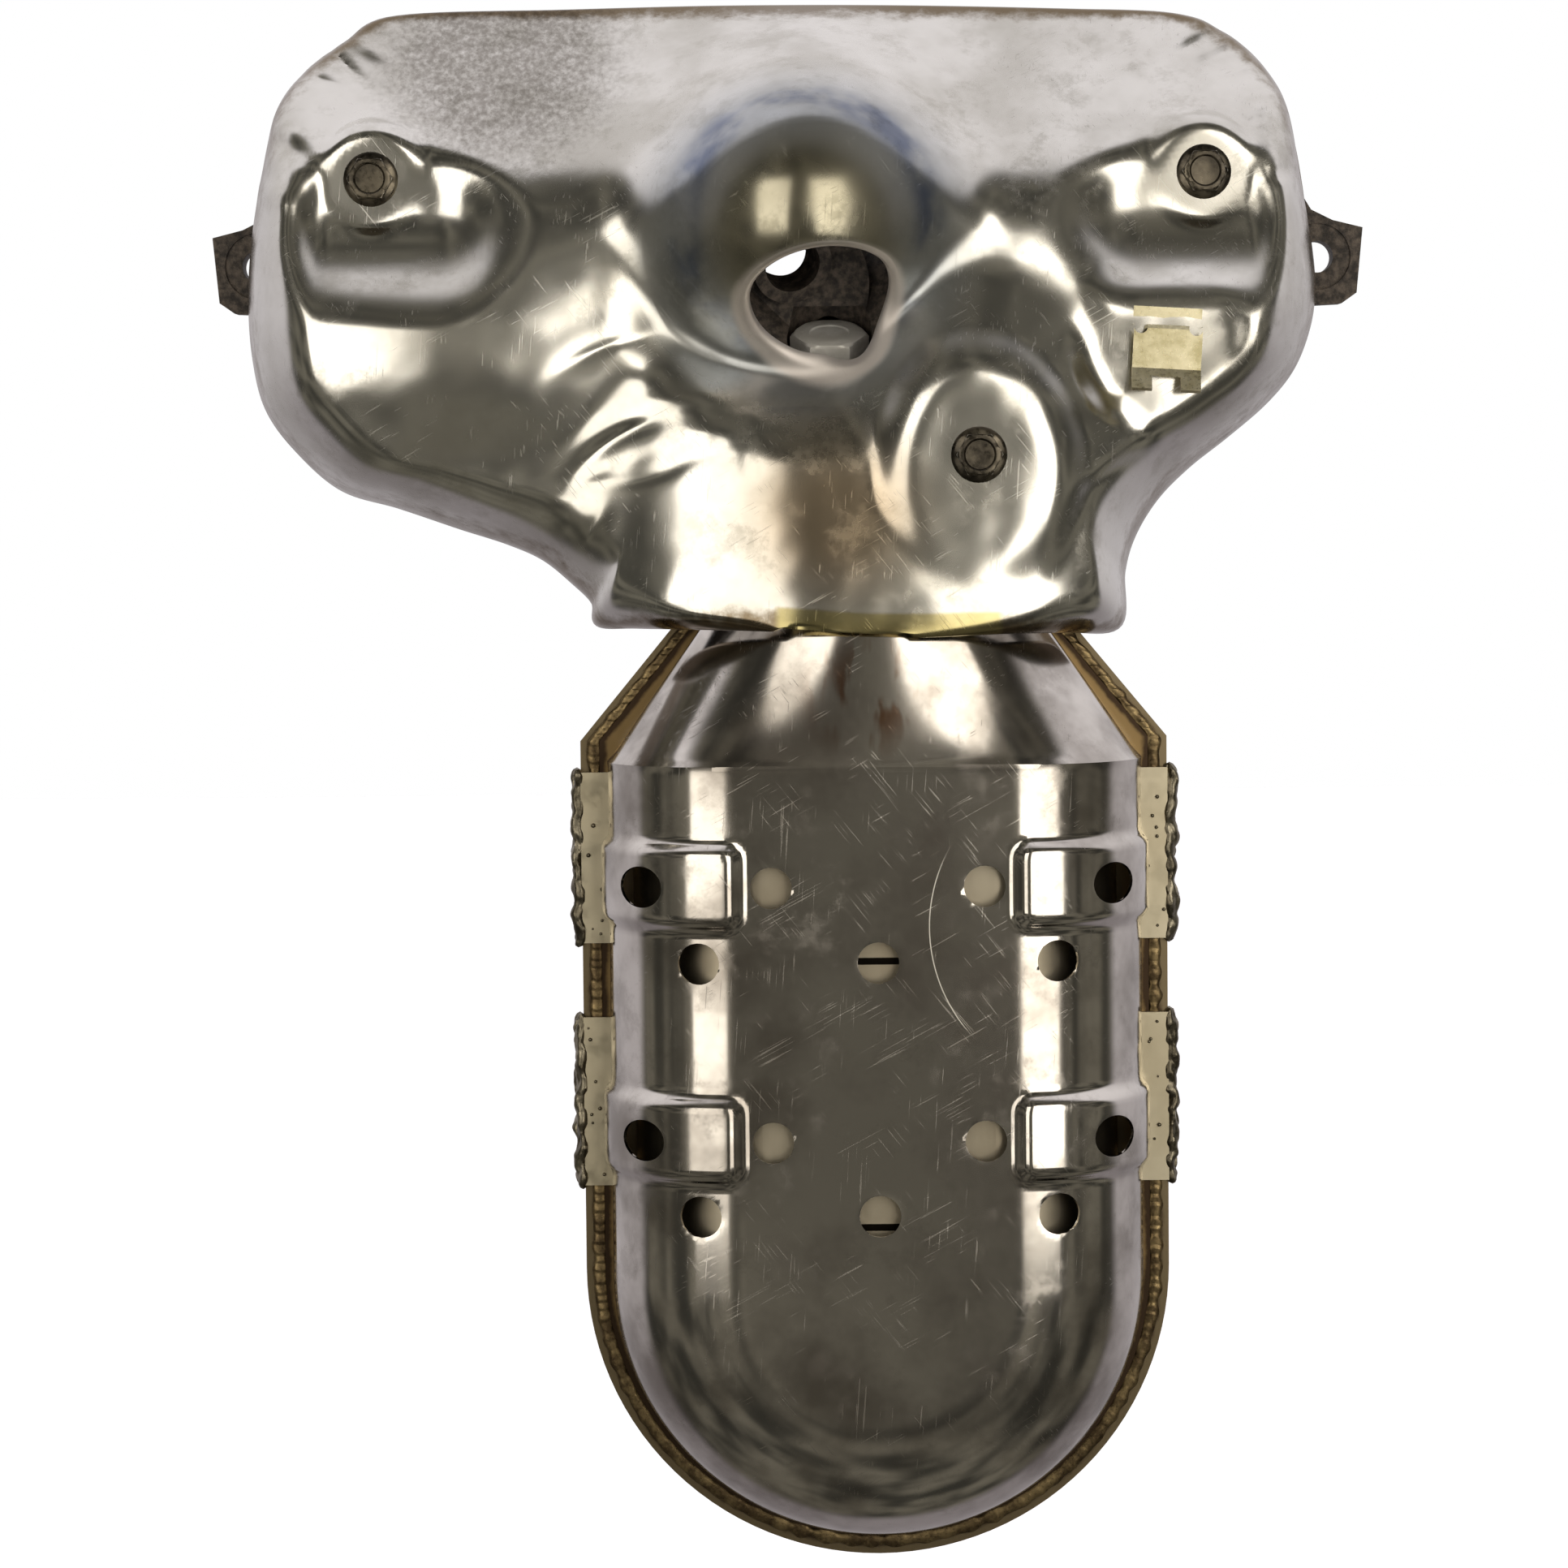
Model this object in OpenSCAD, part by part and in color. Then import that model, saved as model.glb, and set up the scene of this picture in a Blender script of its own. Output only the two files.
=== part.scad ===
// Exhaust manifold with a close-coupled catalytic converter, under pressed heat shields.
// X runs along the cylinder head, +Y points into the head and +Z is up. The origin is the
// middle between the two end bolt holes, on the face that seals against the head.
// A "depth" is a distance in front of that face, so a point of depth d has y = -d.

/* [Head flange] */
// Distance between neighbouring exhaust ports
port_pitch = 88; // [84:1:92]
// Width of each port
port_w = 36; // [32:1:38]
// Height of each port
port_h = 30; // [26:1:32]
// Distance between the two end bolt holes
end_hole_pitch = 350.6; // [346:0.2:354]
// Diameter of the end bolt holes
end_hole_d = 10.5; // [9:0.1:11]
// Diameter of the bolt holes between the ports
inner_hole_d = 9; // [8:0.1:10]
// Thickness of the head flange
flange_t = 12; // [10:0.5:13]

/* [Runners and collector] */
// Outer diameter of each runner
runner_d = 40; // [36:1:42]
// Wall of the casting
cast_wall = 4; // [3.5:0.5:5]
// Outer diameter of the collector
collector_d = 62; // [60:1:64]
// Bore of the gas sensor's thread
sensor_bore_d = 18; // [16:0.5:18]

/* [Manifold shield] */
// Thickness of the shield's sheet
sheet_t = 1.2; // [0.8:0.1:1.6]
// Diameter of the sensor's access hole
access_d = 46; // [42:1:48]
// Radius of the dome round the sensor
dome_r = 38; // [37:0.5:39]

/* [Converter] */
// Half the width of the welded rim
rim_w = 94.3; // [93:0.1:96]
// Half the width of each heat shield
cover_w = 85.2; // [84:0.1:86]
// Half the width of each inner half shell
shell_w = 77.5; // [76:0.5:79]
// Depth of each heat shield in front of the rim's plane
cover_depth = 52; // [51:0.5:54]
// Depth of each inner half shell
shell_depth = 45.5; // [44:0.5:46]
// Sheet thickness of the half shells
shell_t = 1.5; // [1.5:0.1:1.8]
// Thickness of the converter's heat shields
cover_t = 1; // [0.8:0.1:1.2]
// Diameter of the vent holes
vent_d = 13; // [11:0.5:14]
// How far the clamping pads stand proud of a shield
pad_rise = 4; // [3:0.5:5]
// Diameter of the outlet pipe
outlet_d = 57; // [54:1:60]

/* [Hidden] */
fine = 72;
cx = 26;                 // the converter stands this far to the right of the flange's middle
rim_d = 66;              // depth of the converter's split plane
port_x = [for (i = [-1.5:1:1.5]) i * port_pitch];
runner_r = runner_d / 2;
bend_r = 30;             // centreline radius of each runner's elbow
runner_depth = 48;       // depth of the runners' plane past the elbows
collector_z = -68;       // where the runners meet
collector_r = collector_d / 2;
sensor_at = [1.5, -70, -4]; // middle of the sensor boss's face
sensor_lean = 24;        // the sensor leans this far down from straight ahead
sensor_swing = 18;       // and this far to the right
plenum_r = 26;
plenum_z = -10;
plenum_face = 62;
joint_z = -94;           // underside of the collector's flange
joint_plate_t = 10;
joint_gasket_t = 1.5;
joint_plate_r = 37;
joint_pcr = 47;          // radius of the joint's stud circle
joint_angles = [0, 90, 180];
joint_stud_r = 4;
inlet_z = joint_z - joint_gasket_t - joint_plate_t;
side_bolt_x = 132.8;
side_bolt_z = 24.6;
side_bolt_depth = 68;
low_bolt = [58.9, -65.1];
low_bolt_depth = 109;
plug_at = [13, -62.3, -34.4];
plug_lift = 66;          // the plug's axis leans this far up from straight ahead
plug_af = 22;
neck_r = 31;
weld_h = 1.9;            // the seam weld's height above the split plane
shoulder_z = -161.5;     // where the cone meets the straight body
rim_shoulder_z = -155.5;
round_z = -326.5;        // centre of the half-round bottom end
cover_top_z = -112;
rim_top_w = 53;
brick_w = 72;
brick_depth = 40;
mat_t = 4;
upper_brick = [-219, 50];
lower_brick = [-303, 76];
rib_z = [-223, -307];
pad_z = [-199, -278.5];
pad_h = 30;
pad_in = 41.5;
tab_z = [[-220.5, 55], [-299, 54.5]];
outlet_z = -335.5;
outlet_r = outlet_d / 2;
outlet_end = 40;         // the outlet flange's face, behind the head's plane
clip_at = [118.8, -90, -30.2];
clip_turn = 3.5;

// A cylinder along Y from depth a to the larger depth b.
module along_y(x, z, r, a, b) {
    translate([x, -a, z]) rotate([90, 0, 0]) cylinder(h = b - a, r = r, $fn = fine);
}

// A plate standing in the XZ plane from depth a to the larger depth b.
module plate_y(a, b) {
    translate([0, -a, 0]) rotate([90, 0, 0]) linear_extrude(b - a) children();
}

// Manifold casting

// One runner as a solid of radius r: a stub from the port, a quarter bend, then straight
// to the collector.
module runner(x, r) {
    run = [cx - x, collector_z];
    heading = atan2(run[1], run[0]);
    stub = runner_depth - bend_r;
    translate([x, 0, 0]) rotate([0, -heading, 0]) rotate([180, 0, 0]) {
        rotate([-90, 0, 0]) cylinder(h = stub, r = r, $fn = fine);
        translate([bend_r, stub, 0]) rotate([0, 0, 90])
            rotate_extrude(angle = 90, $fn = fine) translate([bend_r, 0]) circle(r, $fn = fine);
        translate([bend_r, runner_depth, 0]) rotate([0, 90, 0])
            cylinder(h = norm(run) - bend_r, r = r, $fn = fine);
    }
}

// A slot with round ends, w wide and h high.
module port_shape(w, h) {
    square([w - h, h], center = true);
    for (s = [-1, 1]) translate([s * (w - h) / 2, 0]) circle(h / 2, $fn = fine);
}

// Outline of one end ear, drawn for the right-hand end.
module ear_outline() {
    ear_x = end_hole_pitch / 2;
    polygon([[150, -17], [ear_x + 8, -15.5], [ear_x + 13, -12], [ear_x + 15, 9.5],
        [ear_x + 5, 12], [ear_x - 2, 15.5], [ear_x - 6, 22], [150, 27]]);
}

module flange_outline() {
    square([300, 30], center = true);
    for (x = port_x) translate([x, 0]) {
        square([port_w + 24, port_h + 10], center = true);
        square([port_w + 10, port_h + 26], center = true);
        for (a = [-1, 1], b = [-1, 1])
            translate([a * (port_w / 2 + 4), b * (port_h / 2 + 4)]) circle(9, $fn = fine);
    }
    for (x = [-port_pitch, port_pitch], z = [-30, 30]) translate([x, z]) circle(12, $fn = fine);
    translate([0, 30]) circle(12, $fn = fine);
    for (x = [-port_pitch, 0, port_pitch]) translate([x, 8]) square([20, 46], center = true);
    for (x = [-port_pitch, port_pitch]) translate([x, -16]) square([20, 30], center = true);
    ear_outline();
    mirror([1, 0]) ear_outline();
}

module head_bolt_holes(r_end, r_inner) {
    for (s = [-1, 1]) translate([s * end_hole_pitch / 2, 0]) circle(r_end, $fn = fine);
    for (x = [-port_pitch, port_pitch], z = [-30, 30])
        translate([x, z]) circle(r_inner, $fn = fine);
    translate([0, 30]) circle(r_inner, $fn = fine);
}

// Round plate with three ears, for the joint between collector and converter.
module joint_outline(r) {
    circle(r, $fn = fine);
    for (a = joint_angles) rotate(a) {
        translate([joint_pcr / 2, 0]) square([joint_pcr, 22], center = true);
        translate([joint_pcr, 0]) circle(11, $fn = fine);
    }
}

module on_joint(r) {
    for (a = joint_angles) translate([cx, -rim_d, 0]) rotate(a) translate([r, 0, 0]) children();
}

module along_sensor() {
    translate(sensor_at) rotate([90 + sensor_lean, 0, sensor_swing]) children();
}

module along_plug() {
    translate(plug_at) rotate([90 - plug_lift, 0, 0]) children();
}

module manifold_casting() {
    under = sheet_t + 0.3;   // the posts end just short of the shield's back
    color("#4a3b30") difference() {
        union() {
            plate_y(0, flange_t) flange_outline();
            for (x = port_x) runner(x, runner_r);
            translate([cx, -rim_d + 6, collector_z]) sphere(collector_r + 2, $fn = fine);
            translate([cx, -rim_d, joint_z]) cylinder(h = 28, r = collector_r, $fn = fine);
            along_y(0, plenum_z, plenum_r, 6, plenum_face);
            along_sensor() translate([0, 0, -26]) cylinder(h = 26, r = 13, $fn = fine);
            for (s = [-1, 1]) along_y(s * side_bolt_x, side_bolt_z, 9, 6, side_bolt_depth - under);
            along_y(low_bolt[0], low_bolt[1], 9, 50, low_bolt_depth - under);
            along_plug() translate([0, 0, -20]) cylinder(h = 20, r = 14.5, $fn = fine);
            translate([cx, -rim_d, joint_z]) linear_extrude(joint_plate_t)
                joint_outline(joint_plate_r);
        }
        for (x = port_x) runner(x, runner_r - cast_wall);
        plate_y(-1, flange_t + 4) for (x = port_x) translate([x, 0]) port_shape(port_w, port_h);
        plate_y(-1, flange_t + 1) head_bolt_holes(end_hole_d / 2, inner_hole_d / 2);
        for (s = [-1, 1])
            along_y(s * end_hole_pitch / 2, 0, 11, flange_t - 0.8, flange_t + 1);
        translate([cx, -rim_d + 6, collector_z])
            sphere(collector_r + 2 - cast_wall, $fn = fine);
        translate([cx, -rim_d, joint_z - 1])
            cylinder(h = 28, r = collector_r - cast_wall, $fn = fine);
        along_y(0, plenum_z, plenum_r - cast_wall - 0.5, flange_t, plenum_face - 8);
        along_sensor() translate([0, 0, -24])
            cylinder(h = 25, r = sensor_bore_d / 2, $fn = fine);
        along_y(0, -1, 8, -1, flange_t + 1);
        for (s = [-1, 1]) along_y(s * side_bolt_x, side_bolt_z, 3.1, 50, side_bolt_depth);
        along_y(low_bolt[0], low_bolt[1], 3.1, 76, low_bolt_depth);
        along_plug() translate([0, 0, -18]) cylinder(h = 19, r = 8.1, $fn = fine);
        along_plug() cylinder(h = 16, r = 13.6, $fn = fine);
        on_joint(joint_pcr) translate([0, 0, joint_z - 1]) cylinder(h = 12, r = 4.4, $fn = fine);
        translate([cx - 60, -rim_d - 60, joint_z - 40]) cube([120, 120, 40]);
    }
}

// Multi-layer gasket that seals the four ports to the head.
module head_gasket() {
    color("#8a8a86") plate_y(-0.8, 0) difference() {
        union() {
            square([290, 12], center = true);
            for (x = port_x) translate([x, 0]) port_shape(port_w + 18, port_h + 14);
            for (x = [-port_pitch, port_pitch], z = [-30, 30])
                translate([x, z]) circle(9, $fn = fine);
            for (x = [-port_pitch, port_pitch]) translate([x, 0]) square([12, 60], center = true);
            translate([0, 30]) circle(9, $fn = fine);
            translate([0, 15]) square([12, 30], center = true);
            translate([0, -1]) circle(13, $fn = fine);
        }
        for (x = port_x) translate([x, 0]) port_shape(port_w + 2, port_h + 2);
        head_bolt_holes(end_hole_d / 2, inner_hole_d / 2 + 0.3);
        translate([0, -1]) circle(8.5, $fn = fine);
    }
}

// Hexagon across flats af, with a washer face: the screwed plug in the casting.
module port_plug() {
    color("#b9b4a8") along_plug() {
        translate([0, 0, 1.5]) cylinder(h = 1.5, r = plug_af / 2 + 0.6, $fn = fine);
        translate([0, 0, 3]) intersection() {
            cylinder(h = 7, r = plug_af / sqrt(3), $fn = 6);
            cylinder(h = 7, r1 = plug_af / 2 + 6, r2 = plug_af / 2 - 0.4, $fn = fine);
        }
        translate([0, 0, -14]) cylinder(h = 15.6, r = 8, $fn = fine);
    }
}

module plug_washer() {
    color("#a06c48") along_plug() difference() {
        cylinder(h = 1.5, r = 12.4, $fn = fine);
        translate([0, 0, -1]) cylinder(h = 4, r = 8.2, $fn = fine);
    }
}

// Manifold shield

// Edge of the pressed cover, clockwise as seen from the front. Each point holds x, z, the
// depth of the edge there, and the width of the rounded wall that rises from it.
rim_points = [
    [-128, 80.5, 16, 24], [-72, 82, 16, 16], [-18, 82.9, 16, 12], [36, 82.4, 16, 12],
    [89, 80.8, 16, 16], [127, 78.9, 16, 24], [143, 72.6, 16, 34], [155, 61.7, 16, 32],
    [163, 47, 16, 28], [167.4, 22.6, 16, 26], [170.6, 4, 16, 26], [171.8, -10, 16, 26],
    [170.4, -23, 16, 25], [165, -37, 17, 24], [156, -48, 19, 24], [143, -58.8, 24, 24],
    [130, -68.6, 30, 24], [119, -79, 38, 24], [111, -91, 45, 24], [107, -103, 51, 22],
    [105.3, -120, 56, 20], [86, -120.3, 84, 12], [66, -120, 105, 6], [40, -120.6, 112.5, 3],
    [19, -120.2, 113, 3], [-4, -118.5, 111, 3], [-32, -118.1, 90, 6], [-50, -118.1, 72, 12],
    [-62.2, -117.8, 58, 18], [-63.5, -111, 56, 20], [-70, -104.5, 51, 22],
    [-80, -96.6, 45, 23], [-92, -91.3, 39, 24], [-108, -86.2, 32, 24], [-128, -79.4, 25, 24],
    [-147, -73.5, 20, 25], [-161.4, -61, 18, 26], [-171, -47.5, 17, 26], [-175, -31, 16, 26],
    [-176, -12, 16, 26], [-174.6, 8, 16, 26], [-170.6, 31, 16, 28], [-166, 49.5, 16, 30],
    [-157, 62, 16, 34], [-144, 72, 16, 34]];
eye = [8, 2];            // the shield's rings close on this point, the dome's middle
core_r = 54;             // inside this radius the rings are circles round the dome
dome_at = [5, 11];
dome_mid = 82;           // depth of the dome's centre
access_from = [9.6, -84.5, 3.1];
access_lean = 49;        // the sensor hole faces this far down from straight ahead
rings = 27;
outer_rings = 16;
spokes = 90;

function ramp(a, b, v) = let (t = min(1, max(0, (v - a) / (b - a)))) t * t * (3 - 2 * t);
function bump(x, z, x0, z0, wx, wz) = exp(-pow((x - x0) / wx, 2) - pow((z - z0) / wz, 2));
function soft_max(a, b, k) = let (h = max(k - abs(a - b), 0) / k) max(a, b) + h * h * k / 4;
function tween(a, b, w) = a + (b - a) * w;

// Depth of the pressed face: a belly that swells into the neck, an arch over the dome, and
// two lower bulges beside it.
function belly(x, z) = 84
    + (17 * ramp(8, 54, -z) + 0.17 * max(-z - 50, 0)) * exp(-pow(abs((x - 22) / 78), 3))
    + 15 * bump(x, z, 8, 48, 50, 26)
    + 11 * bump(x, z, -128, -31, 42, 29)
    + 10 * bump(x, z, 130, -31, 38, 28)
    - 5 * bump(x, z, -72, 0, 34, 20)
    - 4 * bump(x, z, 84, 2, 30, 20);
// The long slope that comes up from the top edge. It is steeper above the dome.
function top_slope(x, z) = 16 + (82.5 - z) * (1 + 1.25 * exp(-pow((x - 6) / 36, 2)));
// A ball cap whose flank runs out straight. The flank is steepest below, at the hole.
function dome(x, z) = let (q = max(0.001, norm([x - dome_at[0], z - dome_at[1]])),
    up = (z - dome_at[1]) / q, steep = 0.95 - 0.52 * up + 0.33 * up * up,
    brim = dome_r * steep / sqrt(1 + steep * steep), cap = min(q, brim))
    dome_mid + sqrt(dome_r * dome_r - cap * cap) - steep * max(q - brim, 0);
// The dome stands on a mound at its sides and in a hollow at its foot.
function mound(x, z) = let (away = max(0.001, norm([x, z] - eye)), up = (z - eye[1]) / away)
    (19 * ramp(-0.6, 0.15, up) - 13 - 5 * ramp(0.3, 1, up)) * (1 - ramp(40, 64, away));

// The face has a flat for the lower bolt and one for the clip.
function low_pad(x, z) = 1 - ramp(15, 36, norm([x - 53, z + 69]));
function clip_pad(x, z) = 1 - ramp(20, 34, norm([x - clip_at[0], z - clip_at[2]]));
function face(x, z) = let (a = soft_max(belly(x, z) + mound(x, z), dome(x, z), 7),
    b = tween(a, low_bolt_depth + 0.1 * (low_bolt[1] - z), low_pad(x, z)),
    c = tween(b, low_bolt_depth, 1 - ramp(12, 19, norm([x, z] - low_bolt))))
    tween(c, -clip_at[1], clip_pad(x, z));

// The oval pocket of each side bolt is a shelf where the shield is lower than the bolt's
// seat, and a hollow where it is higher. The hollow's floor climbs below the bolt in a ledge.
function with_pockets(x, z, depth) = let (s = x < 0 ? -1 : 1, w = (x - s * side_bolt_x) * s,
    u = w < 0 ? 0.62 * w : w, v = (z - 18) * 0.85,
    shelf = side_bolt_depth - 2.2 * soft_max(norm([u, v]) - 17, 0, 5),
    hollow = side_bolt_depth + 1.2 * soft_max(3 - z, 0, 6)
        + 1.3 * soft_max(norm([u, max(v, 0)]) - 19, 0, 6),
    a = -soft_max(-soft_max(depth, shelf, 3), -hollow, 5))
    tween(a, side_bolt_depth, 1 - ramp(13, 20, norm([w, z - side_bolt_z])));

// A point on the cover's edge at k, counted in edge points, on a smooth closed curve.
function edge(k) = let (n = len(rim_points), i = floor(k), t = k - i,
    a = rim_points[(i + n - 1) % n], b = rim_points[i % n],
    c = rim_points[(i + 1) % n], d = rim_points[(i + 2) % n])
    0.5 * (2 * b + (c - a) * t + (2 * a - 5 * b + 4 * c - d) * t * t
        + (3 * b - a - 3 * c + d) * t * t * t);

// A point of the pressed skin on ring i and spoke k. The outer rings run from the edge to
// the core circle and stand closest near the edge, where the wall is steep.
function skin(i, k) = let (e = edge(k * len(rim_points) / spokes), edge_at = [e[0], e[1]],
    ray = unit(edge_at - eye), core = eye + core_r * ray,
    p = i < outer_rings ? tween(edge_at, core, pow(i / outer_rings, 1.3))
        : eye + ray * core_r * (rings - i) / (rings - outer_rings),
    t = min(1, norm(p - edge_at) / e[3]), wall = sqrt(1 - pow(1 - t, 2)),
    walled = tween(e[2], face(p[0], p[1]), wall),
    sloped = -soft_max(-walled, -top_slope(p[0], p[1]), 12))
    [p[0], -with_pockets(p[0], p[1], sloped), p[1]];
function unit(v) = v / norm(v);
function skin_normal(i, k) = unit(cross(
    skin(i, k + 0.5) - skin(i, k + spokes - 0.5),
    skin(min(i + 0.5, rings - 0.1), k) - skin(max(i - 0.5, 0), k)));

module manifold_shield() {
    n = rings * spokes;
    outer = [for (i = [0:rings - 1], k = [0:spokes - 1]) skin(i, k)];
    inner = [for (i = [0:rings - 1], k = [0:spokes - 1])
        skin(i, k) + sheet_t * skin_normal(i, k)];
    tip = [eye[0], -face(eye[0], eye[1]), eye[1]];
    points = concat(outer, [tip], inner, [tip + [0, sheet_t, 0]]);
    back = n + 1;
    faces = concat(
        [for (i = [0:rings - 2], k = [0:spokes - 1]) let (a = i * spokes, m = (k + 1) % spokes)
            each [[a + k, a + m, a + spokes + m], [a + k, a + spokes + m, a + spokes + k],
                [back + a + spokes + m, back + a + m, back + a + k],
                [back + a + spokes + k, back + a + spokes + m, back + a + k]]],
        [for (k = [0:spokes - 1]) let (a = (rings - 1) * spokes, m = (k + 1) % spokes)
            each [[a + k, a + m, n], [back + a + m, back + a + k, back + n]]],
        [for (k = [0:spokes - 1]) let (m = (k + 1) % spokes)
            each [[m, k, back + k], [m, back + k, back + m]]]);
    color("#b9b8b0") difference() {
        polyhedron(points, faces);
        translate(access_from) rotate([90 + access_lean, 0, 0])
            cylinder(h = 60, r = access_d / 2, $fn = 48);
        for (s = [-1, 1]) along_y(s * side_bolt_x, side_bolt_z, 3.6, 50, 90);
        along_y(low_bolt[0], low_bolt[1], 3.6, 90, 120);
    }
}

// Flange bolt: washer face, hexagon with a sunk top, plain shank.
module flange_bolt(x, z, d, reach) {
    translate([x, -d, z]) rotate([90, 0, 0]) {
        difference() {
            union() {
                cylinder(h = 1.8, r = 8.8, $fn = fine);
                cylinder(h = 7.2, r = 7.3, $fn = 6);
            }
            translate([0, 0, 6.4]) cylinder(h = 2, r = 4.8, $fn = fine);
        }
        translate([0, 0, -reach]) cylinder(h = reach + 1, r = 3, $fn = fine);
    }
}

module shield_bolts() {
    color("#55514a") {
        for (s = [-1, 1]) flange_bolt(s * side_bolt_x, side_bolt_z, side_bolt_depth, 14);
        flange_bolt(low_bolt[0], low_bolt[1], low_bolt_depth, 15);
    }
}

// Folded strip that takes a plug-in connector: a base welded to the shield, a ledge, a
// tongue that stands off it, and a forked lead-in.
module connector_clip() {
    t = 1.2;
    rise = 6.6;
    color("#c9c2a0") translate(clip_at) rotate([0, clip_turn, 0]) difference() {
        translate([-10.8, 0, 0]) rotate([90, 0, 90]) linear_extrude(21.6) polygon([
            [0, 11], [-t, 11], [-t, 5.2], [-rise, 5.2], [-rise - t, 4], [-rise - t, -8.5],
            [-rise - t - 5, -15], [-rise - 5, -15.8], [-rise, -9], [-rise, 4],
            [-t, 4], [-t, -11], [0, -11]]);
        translate([-4.5, -20, -17]) cube([9, 16, 6]);
        for (s = [-1, 1]) translate([s * 8.7, 1, 4.4]) rotate([90, 0, 0])
            cylinder(h = 12, r = 2.2, $fn = fine);
    }
}

// Joint between manifold and converter

module joint_gasket() {
    color("#77736b") translate([cx, -rim_d, joint_z - joint_gasket_t])
        linear_extrude(joint_gasket_t) difference() {
            joint_outline(joint_plate_r - 1);
            circle(collector_r - cast_wall + 1, $fn = fine);
            for (a = joint_angles) rotate(a) translate([joint_pcr, 0]) circle(4.6, $fn = fine);
        }
}

module joint_studs() {
    color("#6b5f50") on_joint(joint_pcr) translate([0, 0, inlet_z])
        cylinder(h = 32, r = joint_stud_r, $fn = fine);
}

module joint_nuts() {
    color("#7b756b") on_joint(joint_pcr)
        translate([0, 0, joint_z + joint_plate_t]) difference() {
            cylinder(h = 8, r = 7.5, $fn = 6);
            translate([0, 0, -1]) cylinder(h = 10, r = joint_stud_r + 0.05, $fn = fine);
        }
}

module inlet_flange() {
    color("#6f6456") translate([cx, -rim_d, inlet_z]) linear_extrude(joint_plate_t)
        difference() {
            joint_outline(joint_plate_r);
            circle(neck_r + 0.05, $fn = fine);
            for (a = joint_angles) rotate(a) translate([joint_pcr, 0])
                circle(joint_stud_r + 0.05, $fn = fine);
        }
}

// Converter

// Half section of a tub, from its middle plane outwards: w wide, d deep, round corner r.
module half_section(w, d, r) {
    square([w - r, d]);
    square([w, max(0.1, d - r)]);
    translate([w - r, d - r]) intersection() {
        circle(r, $fn = 96);
        square([r, r]);
    }
}

// Both halves of a section, turned so that depth runs along -Y.
module section(w, d, r) {
    for (s = [0, 1]) mirror([s, 0]) mirror([0, 1]) half_section(w, d, r);
}

// A tub's body: straight down to round_z, then a half-round end turned about an axis
// along Y. It opens towards +Y at the split plane.
module tub(w, d, r) {
    translate([cx, -rim_d, round_z]) {
        linear_extrude(shoulder_z - round_z) section(w, d, r);
        rotate([90, 0, 0]) rotate([0, 0, 180])
            rotate_extrude(angle = 180, $fn = 144) half_section(w, d, r);
    }
}

// A tub's cone, from the straight body at the shoulder to a round-sided top.
module cone(w, d, r, top_z, top_w, top_d, top_r) {
    slice = 0.5;
    translate([cx, -rim_d, 0]) hull() {
        translate([0, 0, shoulder_z]) linear_extrude(slice) section(w, d, r);
        translate([0, 0, top_z - slice]) linear_extrude(slice) section(top_w, top_d, top_r);
    }
}

// The rim's outline in the split plane, inset by g.
module rim_outline(g) {
    w = rim_w - g;
    translate([cx, round_z]) circle(w, $fn = 144);
    translate([cx - w, round_z]) square([2 * w, rim_shoulder_z - round_z]);
    polygon([[cx - w, rim_shoulder_z - 1], [cx + w, rim_shoulder_z - 1],
        [cx + w, rim_shoulder_z], [cx + rim_top_w - g, inlet_z], [cx - rim_top_w + g, inlet_z],
        [cx - w, rim_shoulder_z]]);
}

// One pressed half shell, in front of the split plane, with its flange and two ribs that
// are pressed inwards to hold the mats.
module half_shell(flange_in) {
    corner = 41;
    in_w = shell_w - shell_t;
    in_d = shell_depth - shell_t;
    difference() {
        union() {
            tub(shell_w, shell_depth, corner);
            cone(shell_w, shell_depth, corner, inlet_z, neck_r, neck_r, neck_r - 0.5);
            plate_y(rim_d, rim_d + shell_t) rim_outline(flange_in);
            translate([cx, -rim_d, inlet_z]) linear_extrude(8) intersection() {
                circle(neck_r, $fn = fine);
                translate([-neck_r, -neck_r]) square([2 * neck_r, neck_r]);
            }
        }
        tub(in_w, in_d, corner - shell_t);
        cone(in_w, in_d, corner - shell_t, inlet_z + 0.02, neck_r - shell_t, neck_r - shell_t,
            neck_r - shell_t - 0.5);
        translate([cx, -rim_d, inlet_z - 1])
            cylinder(h = 12, r = neck_r - shell_t, $fn = fine);
    }
    rib = 2.6;
    for (z = rib_z) difference() {
        slab(z, 1.6, in_w, in_d, corner - shell_t);
        slab(z, 1.7, in_w - rib, in_d - rib, corner - shell_t - rib);
    }
}

// A slab of the tub's straight section, centred at height z.
module slab(z, half_h, w, d, r) {
    translate([cx, -rim_d, z - half_h]) linear_extrude(2 * half_h) section(w, d, r);
}

// Everything behind the split plane is the mirror image of what is in front of it.
module behind_split() {
    translate([0, -rim_d, 0]) mirror([0, 1, 0]) translate([0, rim_d, 0]) children();
}

module front_half_shell() {
    color("#8d8577") half_shell(6.2);
}

module rear_half_shell() {
    color("#857c6c") difference() {
        behind_split() half_shell(0);
        along_y(cx, outlet_z, outlet_r + 0.05, -30, rim_d - 20);
    }
}

// Fillet weld on the step between the two flanges, all round the rim.
module seam_weld() {
    color("#6e5c40") plate_y(rim_d, rim_d + weld_h) difference() {
        rim_outline(3.2);
        rim_outline(6.2);
    }
}

// Full racetrack section, both sides of the split plane.
module track(w, d) {
    square([2 * (w - d), 2 * d], center = true);
    for (s = [-1, 1]) translate([s * (w - d), 0]) circle(d, $fn = 96);
}

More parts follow.
